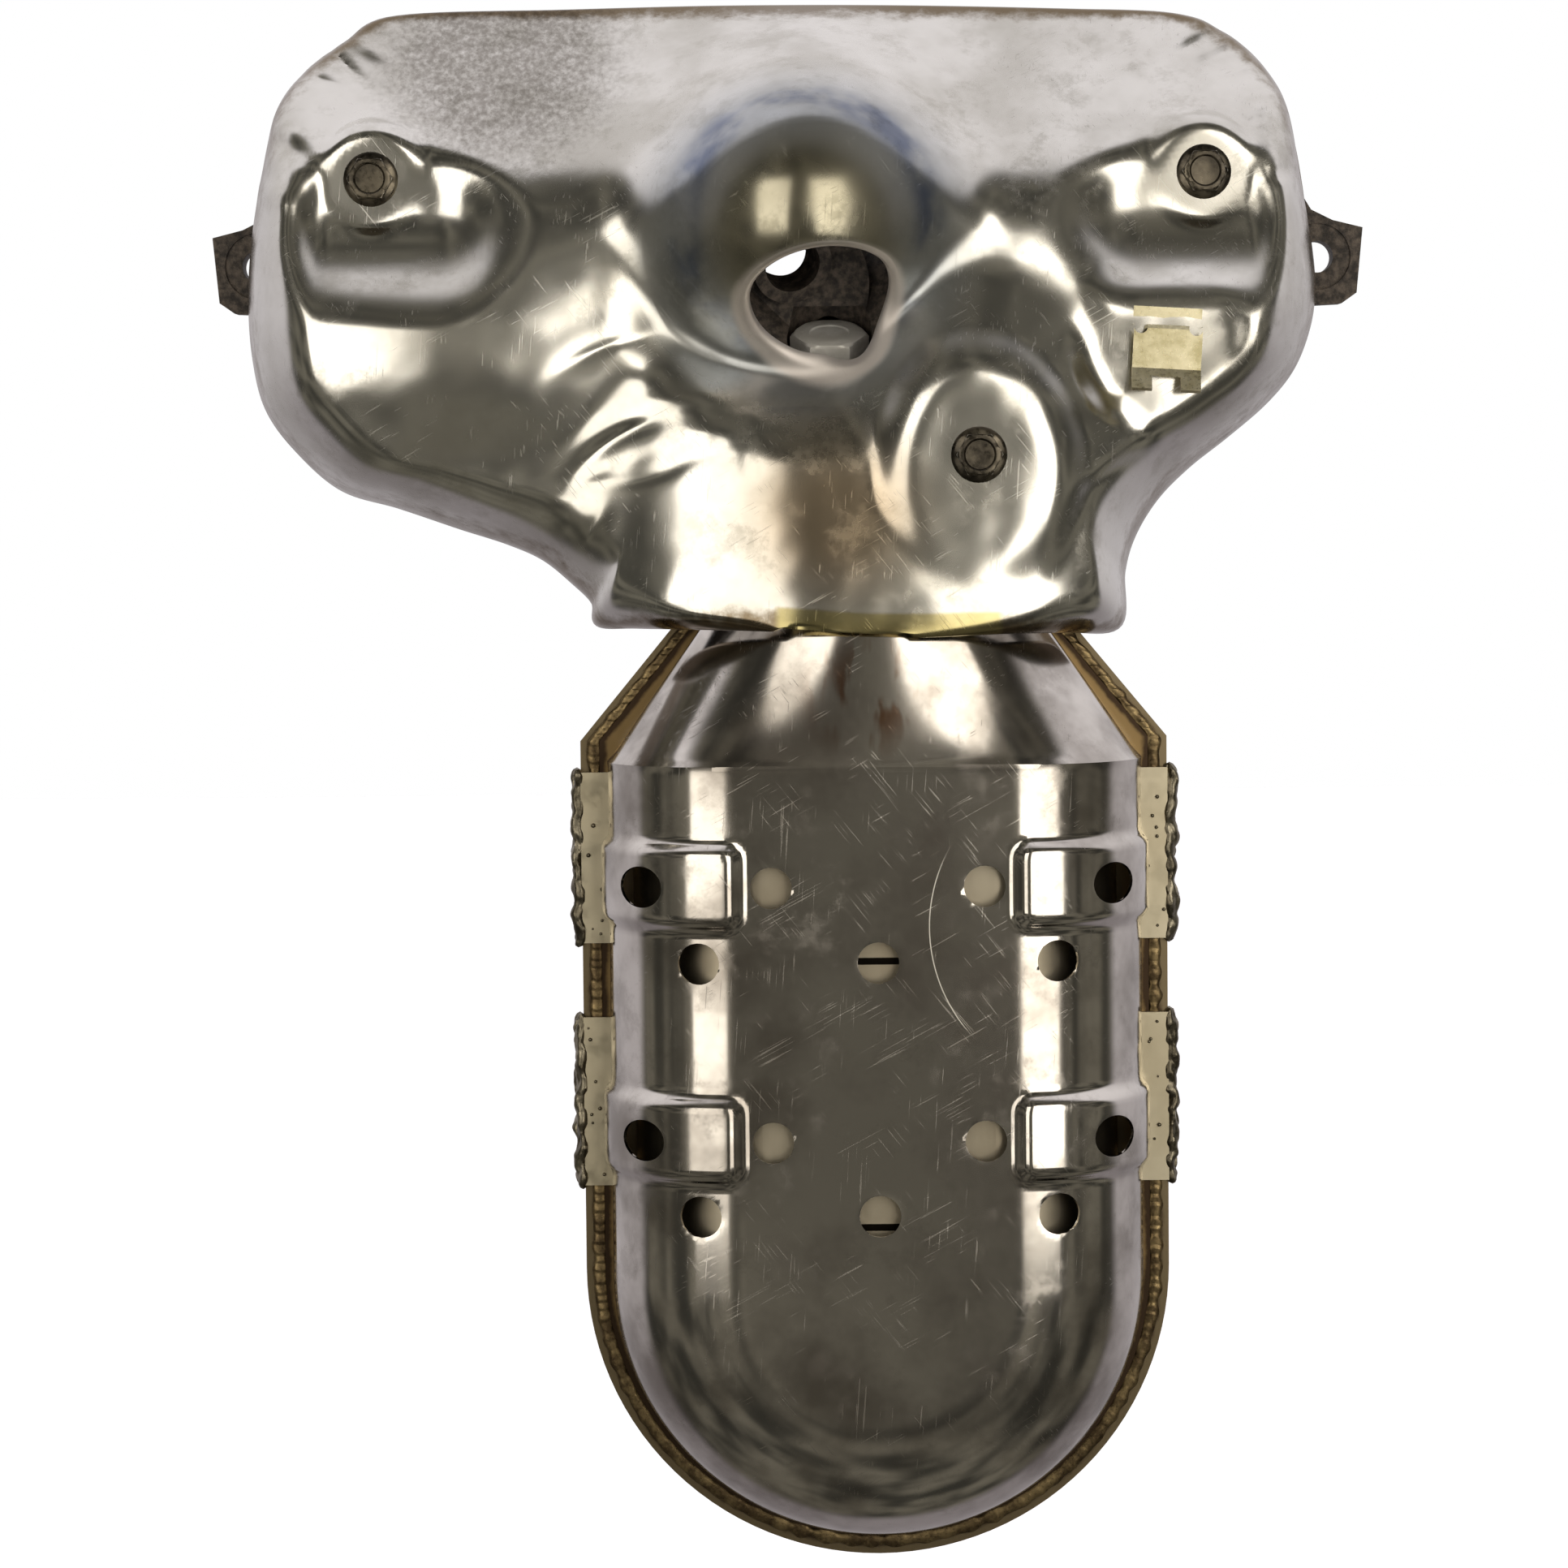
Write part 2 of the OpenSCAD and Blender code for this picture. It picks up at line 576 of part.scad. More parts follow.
// Honeycomb brick, with a coarse grid of channels cut into each end face.
module brick(at, w, d) {
    pitch = 9;
    translate([cx, -rim_d, at[0]]) difference() {
        linear_extrude(at[1]) track(w, d);
        for (z = [-0.01, at[1] - 1.99]) translate([0, 0, z]) {
            for (i = [-6:6]) translate([i * pitch - 0.75, -d + 6, 0]) cube([1.5, 2 * d - 12, 2]);
        }
    }
}

module upper_brick() { color("#cbb99a") brick(upper_brick, brick_w, brick_depth); }
module lower_brick() { color("#cbb99a") brick(lower_brick, brick_w, brick_depth); }

// Swelling mat that grips a brick inside the shells.
module mat(at) {
    translate([cx, -rim_d, at[0] + 4]) linear_extrude(at[1] - 8) difference() {
        track(brick_w + mat_t - 0.05, brick_depth + mat_t - 0.05);
        track(brick_w + 0.05, brick_depth + 0.05);
    }
}

module upper_mat() { color("#d9d4c8") mat(upper_brick); }
module lower_mat() { color("#d9d4c8") mat(lower_brick); }

// Knitted wire rings that shield the mats' edges from the gas.
module mat_seals() {
    color("#8f8f8c") for (at = [upper_brick, lower_brick], z = [0.4, at[1] - 3.6])
        translate([cx, -rim_d, at[0] + z]) linear_extrude(3.2) difference() {
            track(brick_w + mat_t - 0.3, brick_depth + mat_t - 0.3);
            track(brick_w + 0.3, brick_depth + 0.3);
        }
}

// A raised clamping pad, wrapped round the tub's corner, as one sloping-sided block.
module cover_pad(z, side, r) {
    hull() {
        pad_slab(z, pad_h / 2 + 2.5, cover_w - 2, cover_depth - 2, r - 2, side, pad_in - 2.5);
        pad_slab(z, pad_h / 2 - 3, cover_w + 0.8, cover_depth + pad_rise, r, side, pad_in + 4);
    }
}

module pad_slab(z, half_h, w, d, r, side, inner_x) {
    translate([cx, -rim_d, z - half_h]) mirror([side < 0 ? 1 : 0, 0, 0])
        linear_extrude(2 * half_h) intersection() {
            mirror([0, 1]) half_section(w, d, r);
            translate([inner_x, -80]) square([80, 74]);
        }
}

module vent_holes() {
    for (row = [[-199.3, [33.3, 72]], [-223, [0, 56.2]], [-279.2, [33.3, 72]],
            [-302.6, [0, 56.2]]], x = row[1], s = [-1, 1])
        along_y(cx + s * x, row[0], vent_d / 2, rim_d + 12, rim_d + 70);
}

// Pressed cover over one side of the converter. Its edge lands on the rim.
module cover() {
    r = 43;
    top_w = 50;
    top_d = 41;
    difference() {
        union() {
            tub(cover_w, cover_depth, r);
            cone(cover_w, cover_depth, r, cover_top_z, top_w, top_d, top_d);
            for (z = pad_z, side = [-1, 1]) cover_pad(z, side, r);
        }
        tub(cover_w - cover_t, cover_depth - cover_t, r - cover_t);
        cone(cover_w - cover_t, cover_depth - cover_t, r - cover_t, cover_top_z + 0.02,
            top_w - cover_t, top_d - cover_t, top_d - cover_t);
        for (z = pad_z, side = [-1, 1]) pad_hollow(z, side, r);
        vent_holes();
        translate([cx - 120, -rim_d - shell_t, -440]) cube([240, 10, 340]);
    }
}

module pad_hollow(z, side, r) {
    translate([cx, -rim_d, z - pad_h / 2 + 4]) mirror([side < 0 ? 1 : 0, 0, 0])
        linear_extrude(pad_h - 8) intersection() {
            mirror([0, 1]) half_section(cover_w - 0.4, cover_depth + pad_rise - 1.4, r);
            translate([pad_in + 5, -80]) square([80, 70]);
        }
}

module front_cover() {
    color("#a8a29a") cover();
}

module rear_cover() {
    color("#9d968c") difference() {
        behind_split() cover();
        along_y(cx, outlet_z, outlet_r + 4, -10, rim_d - 20);
    }
}

// Flat tabs that hold a cover's edge down on the rim. They lie on the seam weld.
module tabs() {
    inner = cover_w + 0.1;
    for (t = tab_z, s = [0, 1]) translate([cx, 0, 0]) mirror([s, 0, 0])
        translate([inner, -rim_d - weld_h - 1.2, t[0]]) cube([rim_w - inner, 1.2, t[1]]);
}

// Lumpy weld bead along each tab's outer edge, from the rim to the tab.
module tab_beads() {
    lumps = 8;
    for (t = tab_z, s = [0, 1]) translate([cx, 0, 0]) mirror([s, 0, 0]) difference() {
        translate([rim_w + 1.2, -rim_d - 2, t[0] - 1]) {
            cylinder(h = t[1] + 2, r = 2, $fn = 24);
            for (i = [0:lumps - 1])
                translate([0.3 * (i % 3), -0.25 * (i % 2), 3.5 + i * (t[1] - 5) / (lumps - 1)])
                    sphere(2.4 + 0.25 * ((i * 7) % 3), $fn = 24);
        }
        translate([rim_w - 10, -rim_d - 10, t[0] - 10]) cube([10, 20, t[1] + 20]);
        translate([rim_w - 10, -rim_d, t[0] - 10]) cube([20, 20, t[1] + 20]);
    }
}

module front_tabs() { color("#c2b89c") tabs(); }
module rear_tabs() { color("#c2b89c") behind_split() tabs(); }
module front_tab_welds() { color("#5d5343") tab_beads(); }
module rear_tab_welds() { color("#5d5343") behind_split() tab_beads(); }

// Outlet, behind the converter's lower end

module outlet_pipe() {
    color("#8b8274") difference() {
        along_y(cx, outlet_z, outlet_r, -outlet_end + 2, 24);
        along_y(cx, outlet_z, outlet_r - 2, -outlet_end - 1, 30);
        translate([cx, 12, outlet_z - outlet_r - 3]) cylinder(h = 12, r = 9.2, $fn = fine);
    }
}

module outlet_weld() {
    color("#5d5343") translate([cx, shell_depth - rim_d, outlet_z]) rotate([-90, 0, 0])
        difference() {
            cylinder(h = 4, r1 = outlet_r + 4, r2 = outlet_r + 0.3, $fn = fine);
            translate([0, 0, -1]) cylinder(h = 6, r = outlet_r + 0.02, $fn = fine);
        }
}

module outlet_flange() {
    ear = 43;
    color("#6f6456") difference() {
        plate_y(-outlet_end, -outlet_end + 10) difference() {
            union() {
                translate([cx, outlet_z]) circle(outlet_r + 9, $fn = fine);
                translate([cx, outlet_z]) square([2 * ear, 26], center = true);
                for (s = [-1, 1]) translate([cx + s * ear, outlet_z]) circle(13, $fn = fine);
            }
            for (s = [-1, 1]) translate([cx + s * ear, outlet_z]) circle(5.25, $fn = fine);
        }
        along_y(cx, outlet_z, outlet_r + 0.05, -outlet_end + 2, -outlet_end + 12);
        along_y(cx, outlet_z, outlet_r - 2, -outlet_end - 1, -outlet_end + 12);
    }
}

module sensor_bung() {
    color("#7b756b") translate([cx, 12, outlet_z - outlet_r - 10]) difference() {
        cylinder(h = 13, r = 12, $fn = fine);
        translate([0, 0, -1]) cylinder(h = 16, r = sensor_bore_d / 2, $fn = fine);
        translate([0, 0, 10 + outlet_r]) rotate([90, 0, 0])
            cylinder(h = 40, r = outlet_r, center = true, $fn = fine);
    }
}

manifold_casting();
manifold_shield();
shield_bolts();
connector_clip();
port_plug();
plug_washer();
joint_gasket();
joint_studs();
joint_nuts();
inlet_flange();
front_half_shell();
rear_half_shell();
seam_weld();
upper_brick();
lower_brick();
upper_mat();
lower_mat();
mat_seals();
front_cover();
rear_cover();
front_tabs();
rear_tabs();
front_tab_welds();
rear_tab_welds();
outlet_pipe();
outlet_weld();
outlet_flange();
sensor_bung();
head_gasket();
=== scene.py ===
# %% [markdown]
# # An exhaust manifold with its catalytic converter
# The real object is a cast manifold under a pressed heat shield, with a welded converter
# below it. The CAD model already has every piece at its size. This lesson gives the pieces
# their looks: it keeps the CAD solids that look right with a good material, and makes new,
# finer surfaces where pressing, welding or rounded edges give the real piece its character.

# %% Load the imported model
import math

import bpy
import numpy as np
from mathutils import Matrix, Vector


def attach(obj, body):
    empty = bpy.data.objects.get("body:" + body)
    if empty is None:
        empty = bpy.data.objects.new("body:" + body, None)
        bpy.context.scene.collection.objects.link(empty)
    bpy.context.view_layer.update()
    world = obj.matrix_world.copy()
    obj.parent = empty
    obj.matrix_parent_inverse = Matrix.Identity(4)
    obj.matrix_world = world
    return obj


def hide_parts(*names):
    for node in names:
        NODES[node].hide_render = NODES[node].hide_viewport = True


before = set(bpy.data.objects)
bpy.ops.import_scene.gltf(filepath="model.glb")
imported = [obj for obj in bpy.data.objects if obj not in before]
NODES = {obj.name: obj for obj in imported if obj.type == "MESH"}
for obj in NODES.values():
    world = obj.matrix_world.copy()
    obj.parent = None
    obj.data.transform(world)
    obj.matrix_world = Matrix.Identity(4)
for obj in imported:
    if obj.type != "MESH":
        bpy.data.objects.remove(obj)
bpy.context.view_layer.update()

MM = 0.001

# %% [markdown]
# ## Small tools
# A pressed sheet or a weld bead has no flat sides, so it needs thousands of small faces.
# They could be pulled about by hand with Blender's brushes, but then no size would be known.
# Here a piece is an array of points in millimetres and an array of four-cornered faces, and
# each step works on the whole array at once, which keeps even a fine sheet quick to make.

# %% Faces of a grid
def grid_faces(rows, columns, closed=False):
    """Quads between neighbouring rows and columns. If closed, the last column meets the
    first. They face the side from which rows go up and columns go right."""
    i, j = np.meshgrid(
        np.arange(rows - 1), np.arange(columns if closed else columns - 1), indexing="ij")
    k = (j + 1) % columns
    a, b = i * columns, (i + 1) * columns
    return np.stack([a + j, a + k, b + k, b + j], -1).reshape(-1, 4)


def welded(points, faces):
    """Points in the same place become one, so seams and poles are closed."""
    kept, where = np.unique(np.round(points, 5), axis=0, return_inverse=True)
    return kept, where.reshape(-1)[faces]


print("a grid of 3 rows and 4 columns has", len(grid_faces(3, 4)), "faces")

# %% A sheet with a thickness
def vertex_normals(points, faces):
    """Unit sum of the normals of the faces round each point. A face's normal is the cross
    product of its two diagonals."""
    diagonals = [points[faces[:, i + 2]] - points[faces[:, i]] for i in (0, 1)]
    normals = np.cross(*diagonals)
    total = np.zeros_like(points)
    for corner in range(4):
        np.add.at(total, faces[:, corner], normals)
    return total / np.maximum(np.linalg.norm(total, axis=1, keepdims=True), 1e-9)


def thickened(points, faces, thickness):
    """A closed shell: the sheet, its copy moved back along each point's normal, and a strip
    along every open edge."""
    back = points - thickness * vertex_normals(points, faces)
    edges = np.stack([faces, np.roll(faces, -1, 1)], -1).reshape(-1, 2)
    edges = edges[edges[:, 0] != edges[:, 1]]
    _, first, count = np.unique(
        np.sort(edges, 1), axis=0, return_index=True, return_counts=True)
    a, b = edges[first[count == 1]].T
    n = len(points)
    strip = np.stack([b, a, a + n, b + n], -1)
    return np.concatenate([points, back]), np.concatenate([faces, faces[:, ::-1] + n, strip])


SQUARE = np.array([[0.0, 0, 0], [1, 0, 0], [1, 1, 0], [0, 1, 0]])
print("a square with a thickness has", len(thickened(SQUARE, np.array([[0, 1, 2, 3]]), 1)[1]),
    "faces")

# %% From arrays to a piece in Blender
def add_piece(name, points, faces, finish, slot, replaces=(), sharp=40):
    """Makes a Blender mesh of points in mm. A corner that repeats is dropped, so a quad at a
    pole becomes a triangle. Edges that turn by more than sharp degrees stay crisp."""
    keep = faces != np.roll(faces, -1, 1)
    whole = keep.sum(1) > 2
    corners, counts = faces[whole][keep[whole]], keep[whole].sum(1)
    mesh = bpy.data.meshes.new(name)
    mesh.vertices.add(len(points))
    mesh.vertices.foreach_set("co", (points * MM).astype(np.float32).ravel())
    mesh.loops.add(len(corners))
    mesh.loops.foreach_set("vertex_index", corners.astype(np.int32))
    mesh.polygons.add(len(counts))
    mesh.polygons.foreach_set("loop_start", (np.cumsum(counts) - counts).astype(np.int32))
    mesh.polygons.foreach_set("use_smooth", np.ones(len(counts), bool))
    mesh.update(calc_edges=True)
    mesh.validate()
    mesh.set_sharp_from_angle(angle=math.radians(sharp))
    mesh.materials.append(finish)
    piece = bpy.data.objects.new(name, mesh)
    bpy.context.scene.collection.objects.link(piece)
    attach(piece, "root")
    if replaces:
        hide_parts(*replaces)
    print(name, len(mesh.polygons), "faces")
    return piece


print("each new piece has its points in mm and its mesh in m")

# %% Smooth steps and bumps
def ramp(low, high, value):
    """0 below low, 1 above high, and a smooth S between them."""
    t = np.clip((value - low) / (high - low), 0, 1)
    return t * t * (3 - 2 * t)


def bump(x, z, x0, z0, wide, high):
    """A bell of height 1 at x0, z0."""
    return np.exp(-((x - x0) / wide) ** 2 - ((z - z0) / high) ** 2)


def tween(a, b, share):
    """The way from a to b, of which share is a part: 0 is a, and 1 is b."""
    return a + (b - a) * share


def soft_max(a, b, k):
    """The larger of two heights, with the valley between them filled over a width of k."""
    h = np.maximum(k - abs(a - b), 0) / k
    return np.maximum(a, b) + h * h * k / 4


print("a ramp passes", [round(float(ramp(0, 4, v)), 2) for v in range(5)])

# %% Seeded waviness
def waviness(places, size, seed, waves=14):
    """A smooth random field of unit strength: the sum of sine waves that run in random
    directions, each about size mm long."""
    rng = np.random.default_rng(seed)
    way = rng.normal(size=(waves, places.shape[-1]))
    way *= 2 * np.pi / size * rng.uniform(0.6, 1.5, (waves, 1)) / np.linalg.norm(
        way, axis=1, keepdims=True)
    return np.sin(places @ way.T + rng.uniform(0, 2 * np.pi, waves)).sum(-1) / (waves / 2) ** 0.5


every_mm = np.stack(np.meshgrid(np.arange(99.0), np.arange(99.0)), -1)
print("waviness strays from 0 by", round(float(waviness(every_mm, 20, 1).std()), 2))

# %% [markdown]
# ## Materials
# All the metal here is steel or iron, so colour comes from what covers it: aluminium, zinc,
# heat oxide or weld scale. A painted picture could be wrapped round each piece, but its
# grain would stretch at every bend. So the patterns are worked out in space: noise of a real
# size, read at each point of the piece, drives a Principled shader's colour, roughness and
# bump, which carry the marks of how the surface was made.

# %% Adding nodes
def linear(colour):
    """An sRGB hex colour as linear light, with alpha."""
    c = np.array([int(colour[i:i + 2], 16) for i in (1, 3, 5)]) / 255
    return (*np.where(c <= 0.04045, c / 12.92, ((c + 0.055) / 1.055) ** 2.4).tolist(), 1.0)


def add(tree, kind, *values, out=None, **named):
    """Adds a node and gives its output out, or the first that shows. values fill the inputs
    that show, from the top. A name with a capital is one more input, and one without is an
    option of the node. An input takes another node's output, a number or a hex colour."""
    made = tree.nodes.new("ShaderNode" + kind)
    for option in filter(str.islower, list(named)):
        setattr(made, option, named.pop(option))
    pairs = list(zip([socket for socket in made.inputs if socket.enabled], values))
    for socket, value in pairs + [(made.inputs[name], value) for name, value in named.items()]:
        if isinstance(value, bpy.types.NodeSocket):
            tree.links.new(value, socket)
        else:
            socket.default_value = linear(value) if isinstance(value, str) else value
    return made.outputs[out] if out else next((s for s in made.outputs if s.enabled), made)


def new_material(name):
    """An empty material with its object coordinates and its Principled shader."""
    material = bpy.data.materials.new(name)
    material.use_nodes = True
    tree = material.node_tree
    tree.nodes.clear()
    place = add(tree, "TexCoord", out="Object")
    surface = add(tree, "BsdfPrincipled")
    add(tree, "OutputMaterial", surface, is_active_output=True)
    return material, tree, place, surface.node


# Options that come again and again: a smooth step, a product, one with a sum, and a mix.
SMOOTH = {"interpolation_type": "SMOOTHSTEP"}
TIMES = {"operation": "MULTIPLY"}
TIMES_PLUS = {"operation": "MULTIPLY_ADD"}
COLOURS = {"data_type": "RGBA"}
print("middle grey is", round(linear("#808080")[0], 3), "of white's light")

# %% Where a pattern lies and what it does
def blobs(*sizes):
    """The scale at which noise has blobs of about this size in mm. Three sizes give the
    scale along each axis."""
    scales = [1 / (size * MM) for size in sizes]
    return scales if len(scales) > 1 else scales[0]


def near(tree, place, x, z, inner, outer):
    """1 within inner mm of a place on the front, fading to 0 at outer mm. The distance is
    taken after the depth has been multiplied by 0."""
    flat = add(tree, "VectorMath", place, (1, 0, 1), operation="MULTIPLY")
    away = add(tree, "VectorMath", flat, (x * MM, 0, z * MM), operation="DISTANCE")
    return add(tree, "MapRange", away, outer * MM, inner * MM, **SMOOTH)


def over(tree, shader, share, colour, mode="MIX"):
    """Lays one more colour over the shader's base colour, as strongly as share."""
    base = shader.inputs["Base Color"]
    under = base.links[0].from_socket
    tree.links.new(add(tree, "Mix", share, under, colour, blend_type=mode, **COLOURS), base)


def roughen(tree, shader, share, amount):
    """Adds amount to the shader's roughness where share is 1."""
    rough = shader.inputs["Roughness"]
    under = rough.links[0].from_socket
    tree.links.new(add(tree, "Math", share, amount, under, **TIMES_PLUS), rough)


print("grit of half a millimetre needs a noise scale of", round(blobs(0.5)))

# %% [markdown]
# ## Pressed sheet
# Both heat shields are thin steel sheet that a press has drawn into shape. Rolling left it
# bright, and handling gave it clouds, stains and fine scratches. A picture of brushed metal
# would run one way only. Here three thin, long noises are turned three ways, so that the
# scratches cross, and each changes only the roughness, as a real scratch does.

# %% Finish of a pressed sheet
# Real scratches are finer than the render's pixels, so these are drawn wide enough to show.
SCRATCH_MM = (18, 1.8, 0.45)  # a scratch's length, the depth of its noise, and its width
SCRATCH_ROUGH, STAIN_ROUGH, CLOUD_ROUGH = 0.14, 0.13, 0.08
SCRATCH_WAYS = ((0.5, (0, 0, 0)), (-0.9, (0.3, 0, 0.2)), (1.5, (0.7, 0, 0.1)))


def sheet_finish(name, tone, dirt, polish, cloud):
    """Bright metal sheet. Clouds and stains turn tone to dirt. Its roughness is polish, and
    more on clouds, stains and scratches. Each scratch way is a turn in radians and a shift."""
    material, tree, place, shader = new_material(name)
    shader.inputs["Metallic"].default_value = 1.0
    clouds = add(tree, "TexNoise", place, blobs(42), 4, 0.6)
    cloudy = add(tree, "MapRange", clouds, 0.35, 0.7, 0.0, cloud, **SMOOTH)
    tree.links.new(add(tree, "Mix", cloudy, tone, dirt, **COLOURS), shader.inputs["Base Color"])
    rough = add(tree, "MapRange", clouds, 0.3, 0.7, polish, polish + CLOUD_ROUGH, **SMOOTH)
    tree.links.new(rough, shader.inputs["Roughness"])
    specks = add(tree, "TexNoise", place, blobs(17), 6, 0.7)
    stain = add(tree, "MapRange", specks, 0.5, 0.68, **SMOOTH)
    over(tree, shader, add(tree, "Math", stain, 0.3, **TIMES), dirt)
    areas = add(tree, "TexNoise", place, blobs(60), 2)
    areas = add(tree, "MapRange", areas, 0.4, 0.6, 0.2, 1.0, **SMOOTH)
    roughen(tree, shader, add(tree, "Math", stain, areas, **TIMES), STAIN_ROUGH)
    for turn, shift in SCRATCH_WAYS:
        turned = add(tree, "Mapping", place, Rotation=(0, turn, 0), Location=shift)
        drawn = add(tree, "Mapping", turned, Scale=blobs(*SCRATCH_MM))
        streaks = add(tree, "TexNoise", drawn, 1.0, 1, 0.4)
        lines = add(tree, "MapRange", streaks, 0.66, 0.72, **SMOOTH)
        patch = add(tree, "TexNoise", turned, blobs(16), 2)
        patch = add(tree, "MapRange", patch, 0.52, 0.62, **SMOOTH)
        roughen(tree, shader, add(tree, "Math", lines, patch, **TIMES), SCRATCH_ROUGH)
    peel = add(tree, "TexNoise", place, blobs(2.2), 3, 0.6)
    relief = add(tree, "Bump", Height=peel, Distance=0.0016 * MM, Strength=1.0)
    tree.links.new(relief, shader.inputs["Normal"])
    return material, tree, place, shader


# Bright-rolled stainless steel mirrors the room sharply, with a warm grey tone.
BRIGHT_STAINLESS, tree, place, shader = sheet_finish(
    "bright_stainless", "#d8d3cc", "#857e76", 0.09, 0.85)
print(BRIGHT_STAINLESS.name, "has", len(tree.nodes), "nodes")

# %% [markdown]
# ## A scratch and a stain on the front cover
# A slipped tool left one long curved scratch, and heat or rust left brown streaks at the top
# of the cover. They could be painted. A line at one distance from a point is an arc, which
# needs a few nodes and stays sharp at any size, so that is used. Both lie on the front only,
# because the same sheet finish is also on the rear cover.

# %% Arc scratch and brown streaks
# The line is a third of a millimetre wide, about one pixel, which is wider than the real one.
ARC_MIDDLE, ARC_R, ARC_HALF = (93, -212), 51, 0.16  # x and z, radius and half width in mm
ARC_ENDS = ((-248, -240), (-184, -200))  # heights between which it fades in and out
at = add(tree, "SeparateXYZ", place).node.outputs
in_front = add(tree, "MapRange", at["Y"], -90 * MM, -100 * MM, **SMOOTH)
flat = add(tree, "VectorMath", place, (1, 0, 1), operation="MULTIPLY")
middle = (ARC_MIDDLE[0] * MM, 0, ARC_MIDDLE[1] * MM)
away = add(tree, "VectorMath", flat, middle, operation="DISTANCE")
arc = add(tree, "Math", away, ARC_R * MM, ARC_HALF * MM, operation="COMPARE")
for none, full in ARC_ENDS:
    end = add(tree, "MapRange", at["Z"], none * MM, full * MM, **SMOOTH)
    arc = add(tree, "Math", arc, end, **TIMES)
arc = add(tree, "Math", arc, in_front, **TIMES)
over(tree, shader, arc, "#e8e4dc")
roughen(tree, shader, arc, 0.25)
drawn = add(tree, "Mapping", place, Scale=blobs(9, 9, 45))
brown = add(tree, "MapRange", add(tree, "TexNoise", drawn, 1.0, 3, 0.6), 0.48, 0.6, **SMOOTH)
for share in (near(tree, place, 23, -140, 4, 24), in_front):
    brown = add(tree, "Math", brown, share, **TIMES)
over(tree, shader, brown, "#b98d6a", "MULTIPLY")
print("the scratch is", ARC_ENDS[1][0] - ARC_ENDS[0][0], "mm high")

# %% [markdown]
# ## Heat tints and a painted reflection on the manifold's shield
# Aluminised steel is steel sheet dipped in aluminium: paler and softer in its gloss than
# stainless. The casting under it gets red hot, so the dome turns blue-grey and the neck turns
# tan. The tan in the dome's middle is a painted warm reflection. A gradient texture could do
# each tint. Here each is a round patch by its distance from a place, because the heat spreads
# in rounds too.

# %% Aluminised sheet with its tints
ALUMINISED, tree, place, shader = sheet_finish(
    "aluminised_sheet", "#e2e0da", "#a5a194", 0.15, 0.5)
# The second patch, tan on the dome's middle, is a painted warm reflection. The blue-grey patch and
# the neck's tan are heat tints.
TINTS = ((5, 2, 42, 62, "#c3cad4"), (4, 4, 20, 38, "#e6d9b6"), (14, -84, 8, 40, "#cdb594"))
for x, z, inner, outer, tint in TINTS:
    patch = near(tree, place, x, z, inner, outer)
    over(tree, shader, add(tree, "Math", patch, 0.8, **TIMES), tint, "MULTIPLY")
# The blue ring is a larger round less a smaller one, broken up by noise.
rounds = [near(tree, place, 6, 8, inner, outer) for inner, outer in ((40, 47), (31, 38))]
ring = add(tree, "Math", *rounds, operation="SUBTRACT")
broken = add(tree, "TexNoise", place, blobs(20), 3)
broken = add(tree, "MapRange", broken, 0.35, 0.65, 0.1, 1.0, **SMOOTH)
over(tree, shader, add(tree, "Math", ring, broken, **TIMES), "#a3aecb", "MULTIPLY")
# The oxide round the dome is duller than the dome's own top.
rounds = [near(tree, place, 5, 2, 42, 62), near(tree, place, 4, 9, 10, 30)]
roughen(tree, shader, add(tree, "Math", *rounds, operation="SUBTRACT"), 0.17)
print(len(TINTS) + 1, "tints on", ALUMINISED.name)

# %% [markdown]
# ## Lip, edge and pressed grain
# The sheet is darker brown along its cut edge, a pale band round the sensor's hole is a
# painted reflection of the pale floor on its rolled lip, and the upper left corner, where the
# press stretched the metal most, is leathery. The first two follow the sheet, not a place in
# space. So the piece stores the distance from its edge and from its hole, in mm, as
# attributes at its points, and the shader reads them.

# %% Marks that follow the sheet
# The pale band, widest below the hole, is a painted reflection of the pale floor on the rolled lip.
# The lip is also rougher there.
lip = add(tree, "Attribute", attribute_name="from_hole", out="Fac")
lip = add(tree, "MapRange", lip, 7, 3, **SMOOTH)
over(tree, shader, add(tree, "Math", lip, 0.85, **TIMES), "#e6dfda")
roughen(tree, shader, lip, 0.25)
# A ragged band of darker brown is painted along the sheet's cut edge.
edge = add(tree, "Attribute", attribute_name="from_edge", out="Fac")
ragged = add(tree, "TexNoise", place, blobs(7), 4, 0.7)
ragged = add(tree, "Math", ragged, -9.0, edge, **TIMES_PLUS)
over(tree, shader, add(tree, "MapRange", ragged, 2.5, -3.0, 0.0, 0.95, **SMOOTH), "#75664f")
# A dull strip lies along the neck's foot: near the edge, low enough, and between two sides.
strip = add(tree, "MapRange", edge, 7, 5.5, **SMOOTH)
at = add(tree, "SeparateXYZ", place).node.outputs
for axis, none, full in (("Z", -108, -112), ("X", -6, -3), ("X", 67, 64)):
    share = add(tree, "MapRange", at[axis], none * MM, full * MM, **SMOOTH)
    strip = add(tree, "Math", strip, share, **TIMES)
over(tree, shader, add(tree, "Math", strip, 0.9, **TIMES), "#b3a878")
print("marks read", [node.attribute_name for node in tree.nodes if node.type == "ATTRIBUTE"])

# %% Leathery grain
drawn = add(tree, "Mapping", place, Scale=blobs(1.9, 1.9, 4.18))
leather = add(tree, "TexNoise", drawn, 1.0, 3, 0.6)
worked = add(tree, "Math", near(tree, place, -92, 66, 18, 62), leather, **TIMES)
shade = add(tree, "MapRange", worked, 0.1, 0.7, 0.0, 0.75, **SMOOTH)
over(tree, shader, shade, "#8d8781", "MULTIPLY")
under = shader.inputs["Normal"].links[0].from_socket
grain = add(tree, "Bump", Height=worked, Distance=0.07 * MM, Strength=1.0, Normal=under)
tree.links.new(grain, shader.inputs["Normal"])
print(ALUMINISED.name, "has", len(tree.nodes), "nodes")

